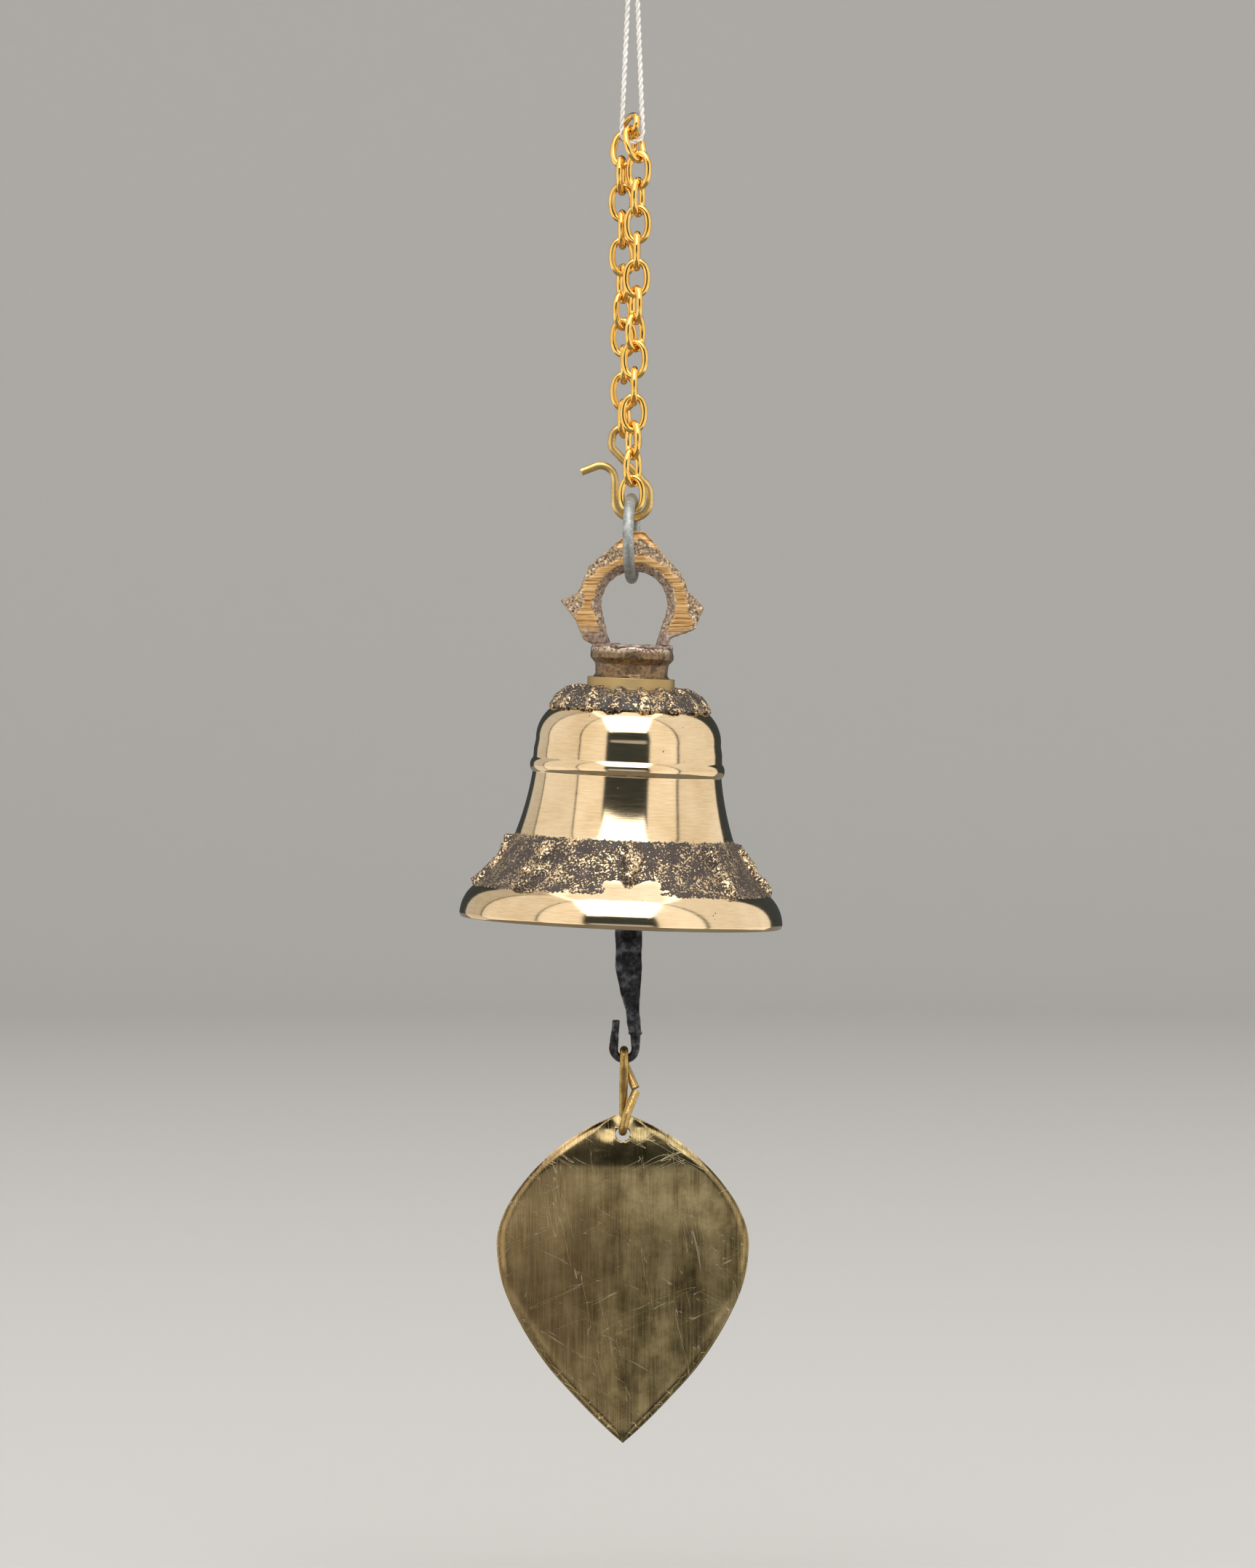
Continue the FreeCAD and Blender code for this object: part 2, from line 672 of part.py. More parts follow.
def clapper():
    """Flat forged iron: an eye rolled over the staple, a long strip, a taper and a round hook."""
    bore = size("staple_wire") / 2 + size("clapper_eye_play")
    outer = bore + size("clapper_thickness")
    width = size("clapper_width")
    barrel = doc.addObject("Part::Cylinder", "eye_barrel")
    barrel.setExpression(
        "Radius",
        "sizes.staple_wire / 2 + sizes.clapper_eye_play + sizes.clapper_thickness",
    )
    barrel.setExpression("Height", "sizes.clapper_width")
    drill = doc.addObject("Part::Cylinder", "eye_bore")
    drill.setExpression("Radius", "sizes.staple_wire / 2 + sizes.clapper_eye_play")
    drill.setExpression("Height", "sizes.clapper_width * 2")
    sideways = Rotation(Vector(0, 1, 0), 90)
    barrel.Placement = Placement(staple_bar + Vector(-width / 2, 0, 0), sideways)
    drill.Placement = Placement(staple_bar + Vector(-width, 0, 0), sideways)
    eye = doc.addObject("Part::Cut", "clapper_eye")
    eye.Base = barrel
    eye.Tool = drill

    strip = doc.addObject("Part::Extrusion", "clapper_strip")
    face = doc.addObject("Part::Feature", "clapper_outline")
    x = staple_bar.x
    top = staple_bar.z - (bore + outer) / 2
    waist = staple_bar.z - size("clapper_reach")
    taper = size("clapper_taper")
    end = waist - taper
    hook_wire = size("clapper_hook_wire")
    right = width / 2 - 0.1
    corners = [
        Vector(x - width / 2, 0, top),
        Vector(x + width / 2, 0, top),
        Vector(x + width / 2, 0, waist),
        Vector(x + right - 0.3, 0, waist - 0.66 * taper),
        Vector(x + right, 0, end),
        Vector(x + right - 1.6 * hook_wire, 0, end),
        Vector(x - width / 2 + 1.7, 0, waist - 0.66 * taper),
        Vector(x - width / 2 + 0.8, 0, waist - 0.4 * taper),
        Vector(x - width / 2, 0, waist),
    ]
    face.Shape = Part.Face(Part.makePolygon(corners + corners[:1]))
    strip.Base = face
    strip.Dir = Vector(0, 1, 0)
    strip.DirMode = "Custom"
    strip.setExpression("LengthFwd", "sizes.clapper_thickness / 2")
    strip.setExpression("LengthRev", "sizes.clapper_thickness / 2")
    strip.Solid = True

    bend = size("clapper_hook_radius")
    stem = x + right - 0.8 * hook_wire
    back = stem - 2 * bend
    tip = hook_low + hook_wire / 2 + bend + 4.3
    points = [
        Vector(stem, 0, end + 0.8),
        Vector(stem, 0, hook_low + hook_wire / 2),
        Vector(back, 0, hook_low + hook_wire / 2),
        Vector(back + 0.5, 0, tip),
    ]
    hook = round_wire(
        "clapper_hook", rounded_path(points, [0, bend * 0.97, bend * 0.9, 0]), "clapper_hook_wire"
    )
    whole = doc.addObject("Part::MultiFuse", "clapper_forged")
    whole.Shapes = [eye, strip, hook]
    whole.Refine = True
    return finish(whole, "clapper"), (stem + back) / 2


def leaf_link(hook_x):
    """Twisted brass wire: front at the clapper's hook and behind the leaf, with its cut ends at a kink."""
    wire = size("leaf_link_wire")
    seat = (size("clapper_hook_wire") + wire) / 2 + size("leaf_link_play")
    top = hook_low + size("clapper_hook_wire") / 2 + seat
    low = top - size("leaf_link_drop")
    clear = seat + 0.06
    side = hook_x
    kink = Vector(side + 1.75, 0.05, top - 5.9)
    points = [
        kink,
        Vector(side + 0.1, clear, top - 2.3),
        Vector(side, clear, top),
        Vector(side, -clear, top),
        Vector(side, -clear, top - 2.3),
        Vector(side - 0.1, 0.1, top - 6.3),
        Vector(side - 0.1, 1.35, top - 10.6),
        Vector(side - 0.2, 1.45, low),
        Vector(side - 0.2, -1.45, low),
        Vector(side + 0.35, -1.4, top - 9.9),
        kink + Vector(0.1, 0, -0.6 * wire),
    ]
    radii = [0, 1.2, 1.0, 1.0, 1.6, 1.6, 1.2, 1.0, 1.0, 1.0, 0]
    path = rounded_path(points, radii)
    return finish(round_wire("leaf_link_wire_bent", path, "leaf_link_wire"), "leaf_link"), low


def leaf(hook_x, link_low):
    """A pointed heart-shaped leaf of thin sheet brass with a punched hole near its top."""
    hole_top = link_low + size("leaf_link_wire") / 2 + size("leaf_link_play")
    hole_z = hole_top - size("leaf_hole_radius")
    top = hole_z + size("leaf_hole_depth")
    middle = hook_x - 0.2
    shares = [
        (0.0, 0.0),
        (0.13, 0.044),
        (0.25, 0.103),
        (0.36, 0.18),
        (0.445, 0.266),
        (0.49, 0.345),
        (0.4995, 0.405),
        (0.478, 0.515),
        (0.412, 0.632),
        (0.3, 0.765),
        (0.165, 0.88),
        (0.06, 0.96),
        (0.0, 1.0),
    ]
    wide = size("leaf_width")
    tall = size("leaf_length")
    half = [Vector(middle + wide * a, 0, top - tall * b) for a, b in shares]
    other = [Vector(2 * middle - p.x, 0, p.z) for p in half]
    edges = []
    for side in (half, other):
        curve = Part.BSplineCurve()
        curve.interpolate(side)
        edges.append(curve.toShape())
    outline = doc.addObject("Part::Feature", "leaf_outline")
    outline.Shape = Part.Face(Part.Wire(edges))
    sheet_metal = doc.addObject("Part::Extrusion", "leaf_blank")
    sheet_metal.Base = outline
    sheet_metal.Dir = Vector(0, 1, 0)
    sheet_metal.DirMode = "Custom"
    sheet_metal.setExpression("LengthFwd", "sizes.leaf_thickness / 2")
    sheet_metal.setExpression("LengthRev", "sizes.leaf_thickness / 2")
    sheet_metal.Solid = True
    punch = doc.addObject("Part::Cylinder", "leaf_punch")
    punch.setExpression("Radius", "sizes.leaf_hole_radius")
    punch.setExpression("Height", "sizes.leaf_thickness * 4")
    start = Vector(middle, 2 * size("leaf_thickness"), hole_z)
    punch.Placement = Placement(start, Rotation(Vector(1, 0, 0), 90))
    cut = doc.addObject("Part::Cut", "leaf_punched")
    cut.Base = sheet_metal
    cut.Tool = punch
    return finish(cut, "leaf")


thread = hanging_thread()
thread_knot(thread)
top_link()
for number, place in enumerate(front_places, start=1):
    chain_link(f"front_link_{number:02d}", place)
for number, place in enumerate(back_places, start=1):
    chain_link(f"back_link_{number:02d}", place)
s_hook()
iron_ring()
crown_loop()
braze_fillet()
crown_collar()
bell_shell()
clapper_staple()
clapper_item, hook_middle = clapper()
link_item, link_bottom = leaf_link(hook_middle)
leaf(hook_middle, link_bottom)
doc.recompute()

# ---------------------------------------------------------------- checks, then one file for each piece
broken = [o.Name for o in doc.Objects if "Invalid" in o.State or "Error" in o.State]
if broken:
    raise RuntimeError(f"objects that failed: {broken}")
for node, item in parts:
    if item.Shape.isNull() or not item.Shape.isValid() or item.Shape.Volume <= 0:
        raise RuntimeError(f"{node} has no valid solid")
os.makedirs("parts", exist_ok=True)
for node, item in parts:
    item.Shape.exportStep(f"parts/{node}.step")
print("pieces written:", len(parts))
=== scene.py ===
import math

import bmesh
import bpy
import numpy as np
from mathutils import Euler, Matrix, Vector, noise


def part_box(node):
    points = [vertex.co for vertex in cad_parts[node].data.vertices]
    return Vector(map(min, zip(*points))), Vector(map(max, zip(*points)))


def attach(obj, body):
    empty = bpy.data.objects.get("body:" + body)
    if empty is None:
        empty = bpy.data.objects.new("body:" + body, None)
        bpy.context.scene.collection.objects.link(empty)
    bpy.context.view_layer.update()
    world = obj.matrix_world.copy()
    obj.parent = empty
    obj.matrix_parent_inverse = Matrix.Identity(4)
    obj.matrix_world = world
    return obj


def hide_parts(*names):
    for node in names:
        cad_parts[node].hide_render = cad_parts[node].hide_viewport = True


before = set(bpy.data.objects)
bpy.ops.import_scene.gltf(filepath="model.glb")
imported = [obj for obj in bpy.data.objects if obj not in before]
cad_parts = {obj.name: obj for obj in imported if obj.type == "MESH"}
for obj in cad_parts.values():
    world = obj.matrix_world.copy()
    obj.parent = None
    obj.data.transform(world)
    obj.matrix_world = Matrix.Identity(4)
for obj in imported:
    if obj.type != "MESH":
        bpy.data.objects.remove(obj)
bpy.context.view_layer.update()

MM = 0.001

# ---------------------------------------------------------------- camera
# A long lens almost level with the bell, square to its front, framing the thread, chain, bell and leaf.
VIEW_MIDDLE = Vector((-0.84, 0, -128.9)) * MM
VIEW_TALL = 242.3 * MM
CAMERA_AWAY = 0.95
CAMERA_RISE = math.radians(1.4)

camera_data = bpy.data.cameras.new("camera")
camera_data.lens = 36 * CAMERA_AWAY / VIEW_TALL
camera_data.clip_start = 0.01
camera = bpy.data.objects.new("camera", camera_data)
bpy.context.collection.objects.link(camera)
away = Vector((0, -math.cos(CAMERA_RISE), math.sin(CAMERA_RISE)))
camera.location = VIEW_MIDDLE + away * CAMERA_AWAY
camera.rotation_euler = (-away).to_track_quat("-Z", "Y").to_euler()
bpy.context.scene.camera = camera


# ---------------------------------------------------------------- thread loop and knot
# White two-ply cotton thread, doubled over the top link and tied in an overhand knot where the bell is
# hung. The two plies are laid round one smooth centre line.
LAY_PITCH = 2.3 * MM
THREAD_ROUTE = [
    (-0.43, 0.0, -0.69),
    (-1.651, -0.123, -26.534),
    (-1.81, -0.139, -29.89),
    (1.55, -0.139, -29.89),
    (1.421, -0.123, -26.534),
    (0.43, 0.0, -0.69),
]


def add(tree, kind, inputs=None, **settings):
    """A node with its settings made and its inputs either linked or given a value."""
    made = tree.nodes.new(kind)
    for name, value in settings.items():
        setattr(made, name, value)
    for key, value in (inputs or {}).items():
        if isinstance(value, bpy.types.NodeSocket):
            tree.links.new(value, made.inputs[key])
        else:
            made.inputs[key].default_value = value
    return made


def sum_of(tree, operation, *values):
    """One step of arithmetic on numbers or sockets."""
    step = add(tree, "ShaderNodeMath", dict(enumerate(values)), operation=operation)
    return step.outputs[0]


def times(tree, *values):
    """Two numbers or sockets multiplied."""
    return sum_of(tree, "MULTIPLY", *values)


def plus(tree, *values):
    """Two numbers or sockets added."""
    return sum_of(tree, "ADD", *values)


def less(tree, *values):
    """The second number or socket taken from the first."""
    return sum_of(tree, "SUBTRACT", *values)


def vector_of(tree, operation, *values, out=0):
    """The same for vectors."""
    step = add(tree, "ShaderNodeVectorMath", operation=operation)
    for index, value in enumerate(values):
        key = "Scale" if operation == "SCALE" and index == 1 else index
        if isinstance(value, bpy.types.NodeSocket):
            tree.links.new(value, step.inputs[key])
        else:
            step.inputs[key].default_value = value
    return step.outputs[out]


def finish_of(name, **plain):
    """A material with one Principled shader, whose plain values sit on its own sockets."""
    made = bpy.data.materials.new(name)
    made.use_nodes = True
    shader = made.node_tree.nodes["Principled BSDF"]
    for key, value in plain.items():
        shader.inputs[key.replace("_", " ")].default_value = value
    return made, made.node_tree, shader


def colours(tree, amount, *stops):
    """A ramp from (place, (r, g, b)) stops."""
    ramp = add(tree, "ShaderNodeValToRGB", {"Fac": amount})
    points = ramp.color_ramp.elements
    while len(points) < len(stops):
        points.new(0.5)
    for point, (place, colour) in zip(points, stops):
        point.position = place
        point.color = (*colour, 1)
    return ramp.outputs["Color"]


def blend_of(tree, amount, low, high, mode="MIX"):
    """Two colours mixed by a mask."""
    mixed = tree.nodes.new("ShaderNodeMix")
    mixed.data_type = "RGBA"
    mixed.blend_type = mode
    for key, value in ((0, amount), (6, low), (7, high)):
        if isinstance(value, bpy.types.NodeSocket):
            tree.links.new(value, mixed.inputs[key])
        else:
            mixed.inputs[key].default_value = value if key == 0 else (*value, 1)
    return mixed.outputs[2]


def window(tree, value, low, high):
    """0 below low, 1 above high, smooth between."""
    step = add(
        tree,
        "ShaderNodeMapRange",
        {"Value": value, "From Min": low, "From Max": high},
        interpolation_type="SMOOTHSTEP",
    )
    return step.outputs["Result"]


def noise_of(tree, vector, scale, detail, roughness=0.5):
    """A noise texture; its Fac runs from 0 to 1 about 0.5."""
    inputs = {"Vector": vector, "Scale": scale, "Detail": detail, "Roughness": roughness}
    return add(tree, "ShaderNodeTexNoise", inputs)


def bumped(tree, shader, height, strength, distance):
    """Fine surface relief from a height, on a material's own shader."""
    bump = add(tree, "ShaderNodeBump", {"Height": height, "Strength": strength, "Distance": distance})
    tree.links.new(bump.outputs[0], shader.inputs["Normal"])


def flat_mesh(maker, name):
    """The evaluated result of an object as a plain mesh object, with the maker removed."""
    bpy.context.view_layer.update()
    graph = bpy.context.evaluated_depsgraph_get()
    mesh = bpy.data.meshes.new_from_object(maker.evaluated_get(graph))
    mesh.name = name
    made = bpy.data.objects.new(name, mesh)
    bpy.context.collection.objects.link(made)
    bpy.data.objects.remove(maker)
    return made


def new_tree(name, sockets):
    """A geometry tree with named inputs and its group input and output nodes."""
    tree = bpy.data.node_groups.new(name, "GeometryNodeTree")
    tree.interface.new_socket("Geometry", in_out="INPUT", socket_type="NodeSocketGeometry")
    for key, kind in sockets:
        tree.interface.new_socket(key, in_out="INPUT", socket_type=f"NodeSocket{kind}")
    tree.interface.new_socket("Geometry", in_out="OUTPUT", socket_type="NodeSocketGeometry")
    return tree, tree.nodes.new("NodeGroupInput"), tree.nodes.new("NodeGroupOutput")


def end_tree(tree, geometry, given, result):
    """Smooth shading, then real geometry with its material, as every tree here ends."""
    smooth = add(tree, "GeometryNodeSetShadeSmooth", {"Geometry": geometry})
    real = add(tree, "GeometryNodeRealizeInstances", {"Geometry": smooth.outputs[0]})
    clad = add(
        tree, "GeometryNodeSetMaterial", {"Geometry": real.outputs[0], "Material": given.outputs["Material"]}
    )
    tree.links.new(clad.outputs[0], result.inputs[0])


def grow(tree, name, mesh, **values):
    """Runs a geometry tree on a mesh and gives back the plain result."""
    maker = bpy.data.objects.new(f"{name}_maker", mesh)
    bpy.context.collection.objects.link(maker)
    modifier = maker.modifiers.new(tree.name, "NODES")
    modifier.node_group = tree
    for item in tree.interface.items_tree:
        if item.in_out == "INPUT" and item.name in values:
            modifier[item.identifier] = values[item.name]
    made = flat_mesh(maker, name)
    if not made.data.materials:
        made.data.materials.append(values["Material"])
    return made


# the two plies: each a thin strand that winds round the centre line
laid, given, result = new_tree(
    "laid_thread", [("Pitch", "Float"), ("Strand", "Float"), ("Throw", "Float"), ("Material", "Material")]
)
line = add(laid, "GeometryNodeMeshToCurve", {"Mesh": given.outputs["Geometry"]})
even = add(laid, "GeometryNodeResampleCurve", {"Curve": line.outputs[0], "Length": 0.14 * MM}, mode="LENGTH")
steady = add(laid, "GeometryNodeSetCurveNormal", {"Curve": even.outputs[0]})
along = laid.nodes.new("GeometryNodeSplineParameter")
tangent = laid.nodes.new("GeometryNodeInputTangent")
normal = laid.nodes.new("GeometryNodeInputNormal")
turns = sum_of(laid, "DIVIDE", along.outputs["Length"], given.outputs["Pitch"])
plies = laid.nodes.new("GeometryNodeJoinGeometry")
for phase in (0.0, math.pi):
    turn = sum_of(laid, "MULTIPLY_ADD", turns, 2 * math.pi, phase)
    spoke = add(
        laid,
        "ShaderNodeVectorRotate",
        {"Vector": normal.outputs[0], "Axis": tangent.outputs[0], "Angle": turn},
    )
    shift = vector_of(laid, "SCALE", spoke.outputs[0], given.outputs["Throw"])
    moved = add(laid, "GeometryNodeSetPosition", {"Geometry": steady.outputs[0], "Offset": shift})
    round_ply = add(
        laid, "GeometryNodeCurvePrimitiveCircle", {"Resolution": 9, "Radius": given.outputs["Strand"]}
    )
    strand = add(
        laid,
        "GeometryNodeCurveToMesh",
        {"Curve": moved.outputs[0], "Profile Curve": round_ply.outputs[0], "Fill Caps": True},
    )
    laid.links.new(strand.outputs[0], plies.inputs[0])
end_tree(laid, plies.outputs[0], given, result)

cotton, tree, shader = finish_of("white_cotton", Roughness=0.82, Sheen_Weight=0.35)
spot = add(tree, "ShaderNodeTexCoord").outputs["Object"]
fibre = noise_of(tree, spot, 5200.0, 3.0)
soil = noise_of(tree, spot, 260.0, 2.0)
tint = colours(tree, soil.outputs["Fac"], (0.3, (0.74, 0.72, 0.68)), (0.7, (0.9, 0.89, 0.87)))
shade = colours(tree, fibre.outputs["Fac"], (0.32, (0.72, 0.72, 0.72)), (0.62, (1, 1, 1)))
tree.links.new(blend_of(tree, 1.0, tint, shade, "MULTIPLY"), shader.inputs["Base Color"])
bumped(tree, shader, fibre.outputs["Fac"], 0.55, 0.05 * MM)


def smooth_line(points, name):
    """One smooth NURBS line along a route in millimetres, as a line mesh."""
    curve = bpy.data.curves.new(name, "CURVE")
    curve.dimensions = "3D"
    curve.resolution_u = 24
    spline = curve.splines.new("NURBS")
    spline.points.add(len(points) - 1)
    for point, place in zip(spline.points, points):
        point.co = (*(Vector(place) * MM), 1)
    spline.order_u = 3
    spline.use_endpoint_u = True
    line = flat_mesh(bpy.data.objects.new(name, curve), f"{name}_line")
    mesh = line.data
    bpy.data.objects.remove(line)
    return mesh


thread_line = smooth_line(THREAD_ROUTE, "thread_route")
thread_piece = grow(
    laid, "thread_strands", thread_line, Pitch=LAY_PITCH, Strand=0.205 * MM, Throw=0.185 * MM, Material=cotton
)
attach(thread_piece, "thread")
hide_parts("hanging_thread")

# the overhand knot: one more laid length that turns over itself, with two cut tails
KNOT_POINTS = 16
KNOT_WIDE, KNOT_TALL, KNOT_TUCK = 0.42 * 0.62, 0.62 * 0.8, 1.1
knot_route = []
for number in range(KNOT_POINTS + 1):
    turn = 2 * math.pi * number / KNOT_POINTS + 0.4
    knot_route.append(
        (
            KNOT_WIDE * (math.sin(turn) + KNOT_TUCK * math.sin(2 * turn)),
            KNOT_WIDE * (math.cos(turn) - KNOT_TUCK * math.cos(2 * turn)),
            -KNOT_TALL * math.sin(3 * turn),
        )
    )
KNOT_ROUTES = {
    "knot_turns": knot_route,
    "left_tail": [(-0.3, 0.1, 0.3), (-0.35, 0.1, 1.2), (-0.62, 0.0, 2.1), (-0.66, 0.0, 2.8)],
    "right_tail": [(0.3, -0.1, 0.3), (0.3, -0.1, 1.1), (0.42, 0.05, 1.9), (0.5, 0.1, 2.75)],
    "left_neck": [(-0.43, 0.0, -0.8), (-0.3, 0.0, -0.3), (0.3, 0.1, 0.2), (0.2, 0, 0.5)],
    "right_neck": [(0.43, 0.0, -0.8), (0.3, 0.1, -0.3), (-0.3, 0.0, 0.2), (-0.2, 0, 0.5)],
}
knot_bits = []
for name, route in KNOT_ROUTES.items():
    line = smooth_line(route, name)
    knot_bits.append(
        grow(laid, f"{name}_part", line, Pitch=LAY_PITCH, Strand=0.2 * MM, Throw=0.18 * MM, Material=cotton)
    )
joined = bmesh.new()
for bit in knot_bits:
    joined.from_mesh(bit.data)
    bpy.data.objects.remove(bit)
knot_mesh = bpy.data.meshes.new("knot_turns")
joined.to_mesh(knot_mesh)
joined.free()
knot_mesh.materials.clear()
knot_mesh.materials.append(cotton)
knot_piece = bpy.data.objects.new("knot_turns", knot_mesh)
bpy.context.collection.objects.link(knot_piece)
for face in knot_mesh.polygons:
    face.use_smooth = True
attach(knot_piece, "thread")
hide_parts("thread_knot")


# ---------------------------------------------------------------- chain
# Oval links bent from round wire, butted at one end and plated bright yellow gold. Each takes its place
# and turn from the solid link that it stands for.
LINK_LONG = 5.24 * MM
LINK_WIDE = 3.3 * MM
LINK_WIRE = 1.0 * MM

oval, given, result = new_tree(
    "oval_link",
    [
        ("Long", "Float"),
        ("Wide", "Float"),
        ("Wire", "Float"),
        ("Fullness", "Float"),
        ("Seam", "Float"),
        ("Place", "Vector"),
        ("Turn", "Vector"),
        ("Material", "Material"),
    ],
)
loop = add(oval, "GeometryNodeCurvePrimitiveCircle", {"Resolution": 150, "Radius": 1.0})
spot = add(oval, "ShaderNodeSeparateXYZ", {"Vector": oval.nodes.new("GeometryNodeInputPosition").outputs[0]})
bowed = []
for axis, wide in (("Y", "Wide"), ("X", "Long")):
    size = sum_of(oval, "ABSOLUTE", spot.outputs[axis])
    full = sum_of(oval, "POWER", size, given.outputs["Fullness"])
    signed = times(oval, full, sum_of(oval, "SIGN", spot.outputs[axis]))
    half = times(oval, given.outputs[wide], 0.5)
    bowed.append(times(oval, signed, half))
shape = add(oval, "ShaderNodeCombineXYZ", {"X": bowed[0], "Z": bowed[1]})
bent = add(oval, "GeometryNodeSetPosition", {"Geometry": loop.outputs[0], "Position": shape.outputs[0]})
where = oval.nodes.new("GeometryNodeInputIndex")
near = sum_of(oval, "COMPARE", where.outputs[0], 0.0, 0.5)
thin = less(oval, 1.0, times(oval, near, given.outputs["Seam"]))
necked = add(oval, "GeometryNodeSetCurveRadius", {"Curve": bent.outputs[0], "Radius": thin})
half_wire = times(oval, given.outputs["Wire"], 0.5)
section = add(oval, "GeometryNodeCurvePrimitiveCircle", {"Resolution": 22, "Radius": half_wire})
wire = add(
    oval,
    "GeometryNodeCurveToMesh",
    {"Curve": necked.outputs[0], "Profile Curve": section.outputs[0], "Scale": thin},
)
placed = add(
    oval,
    "GeometryNodeTransform",
    {"Geometry": wire.outputs[0], "Translation": given.outputs["Place"], "Rotation": given.outputs["Turn"]},
)
end_tree(oval, placed.outputs[0], given, result)

# bright gold plate: nearly a mirror, with a faint fine ripple and a warmer tone where the plate is thin
gold, tree, shader = finish_of("gold_plate", Metallic=1.0)
spot = add(tree, "ShaderNodeTexCoord").outputs["Object"]
cloud = noise_of(tree, spot, 420.0, 4.0, 0.6)
specks = noise_of(tree, spot, 4200.0, 2.0)
plate = colours(
    tree, cloud.outputs["Fac"], (0.3, (0.88, 0.5, 0.11)), (0.52, (0.95, 0.6, 0.17)), (0.75, (0.99, 0.7, 0.27))
)
tree.links.new(plate, shader.inputs["Base Color"])
dull = colours(tree, cloud.outputs["Fac"], (0.3, (0.1, 0.1, 0.1)), (0.7, (0.2, 0.2, 0.2)))
tree.links.new(dull, shader.inputs["Roughness"])
ripple = sum_of(tree, "MULTIPLY_ADD", specks.outputs["Fac"], 0.3, cloud.outputs["Fac"])
bumped(tree, shader, ripple, 0.22, 0.03 * MM)


def axes_of(node):
    """Middle and turned axes of a solid from its own corners: across, through and along it."""
    low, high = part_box(node)
    middle = (np.array(low) + np.array(high)) / 2
    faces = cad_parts[node].data.polygons
    centres = np.array([f.center for f in faces]) - middle
    areas = np.array([f.area for f in faces])
    spread = (centres * areas[:, None]).T @ centres
    turn = np.linalg.eigh(spread)[1]
    through, across, along = turn[:, 0], turn[:, 1], turn[:, 2]
    if along[2] < 0 or (abs(along[2]) < 0.3 and along[1] > 0):
        along = -along
    across = np.cross(through, along)
    return Vector(middle), Matrix(np.column_stack([across, through, along])).to_euler()


link_bodies = {"top_chain_link": "top_link"}
for run, count in (("front", 14), ("back", 11)):
    for number in range(1, count + 1):
        link_bodies[f"{run}_link_{number:02d}"] = f"{run}_{number:02d}"
for number, (node, body) in enumerate(link_bodies.items()):
    place, turn = axes_of(node)
    link = grow(
        oval,
        f"{node}_oval",
        bpy.data.meshes.new("empty"),
        Long=LINK_LONG,
        Wide=LINK_WIDE,
        Wire=LINK_WIRE,
        Fullness=0.93,
        Seam=0.22 if number % 3 else 0.1,
        Place=place,
        Turn=Vector(turn),
        Material=gold,
    )
    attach(link, body)
    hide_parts(node)


# ---------------------------------------------------------------- S-hook
# Thicker brass wire, bent cold: an eye on the back run, a bend in the ring and a free end. It is satin
# where it was drawn, and the cut end is coppery and bare.
def own_copy(node, name, *materials, smooth=True):
    """A welded copy of a solid's mesh, to stand for it."""
    made = bpy.data.objects.new(name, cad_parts[node].data.copy())
    bpy.context.collection.objects.link(made)
    welded = bmesh.new()
    welded.from_mesh(made.data)
    bmesh.ops.remove_doubles(welded, verts=welded.verts, dist=1e-6)
    bmesh.ops.dissolve_degenerate(welded, edges=welded.edges, dist=1e-7)
    welded.to_mesh(made.data)
    welded.free()
    made.data.materials.clear()
    for material in materials:
        made.data.materials.append(material)
    for face in made.data.polygons:
        face.use_smooth = smooth
        face.material_index = 0
    return made


# what the brass wires share: tone from clouds, fine specks that catch light, small die marks
drawn_wire = bpy.data.node_groups.new("drawn_wire", "ShaderNodeTree")
for key in ("Dark", "Middle", "Light"):
    drawn_wire.interface.new_socket(key, in_out="INPUT", socket_type="NodeSocketColor")
for key in ("Low Gloss", "High Gloss", "Dents"):
    drawn_wire.interface.new_socket(key, in_out="INPUT", socket_type="NodeSocketFloat")
drawn_wire.interface.new_socket("Color", in_out="OUTPUT", socket_type="NodeSocketColor")
drawn_wire.interface.new_socket("Roughness", in_out="OUTPUT", socket_type="NodeSocketFloat")
drawn_wire.interface.new_socket("Normal", in_out="OUTPUT", socket_type="NodeSocketVector")
chosen = drawn_wire.nodes.new("NodeGroupInput")
spot = add(drawn_wire, "ShaderNodeTexCoord").outputs["Object"]
cloud = noise_of(drawn_wire, spot, 330.0, 5.0)
speck = noise_of(drawn_wire, spot, 3600.0, 3.0)
both = sum_of(
    drawn_wire, "MULTIPLY_ADD", speck.outputs["Fac"], 0.45, times(drawn_wire, cloud.outputs["Fac"], 0.6)
)
low_half = add(drawn_wire, "ShaderNodeMapRange", {"Value": both, "From Min": 0.34, "From Max": 0.52})
high_half = add(drawn_wire, "ShaderNodeMapRange", {"Value": both, "From Min": 0.52, "From Max": 0.68})
tone = blend_of(drawn_wire, low_half.outputs["Result"], chosen.outputs["Dark"], chosen.outputs["Middle"])
tone = blend_of(drawn_wire, high_half.outputs["Result"], tone, chosen.outputs["Light"])
gloss = add(
    drawn_wire,
    "ShaderNodeMapRange",
    {
        "Value": speck.outputs["Fac"],
        "From Min": 0.35,
        "From Max": 0.65,
        "To Min": chosen.outputs["Low Gloss"],
        "To Max": chosen.outputs["High Gloss"],
    },
)
marks = add(
    drawn_wire, "ShaderNodeBump", {"Height": both, "Strength": chosen.outputs["Dents"], "Distance": 0.05 * MM}
)
shown = drawn_wire.nodes.new("NodeGroupOutput")
drawn_wire.links.new(tone, shown.inputs["Color"])
drawn_wire.links.new(gloss.outputs["Result"], shown.inputs["Roughness"])
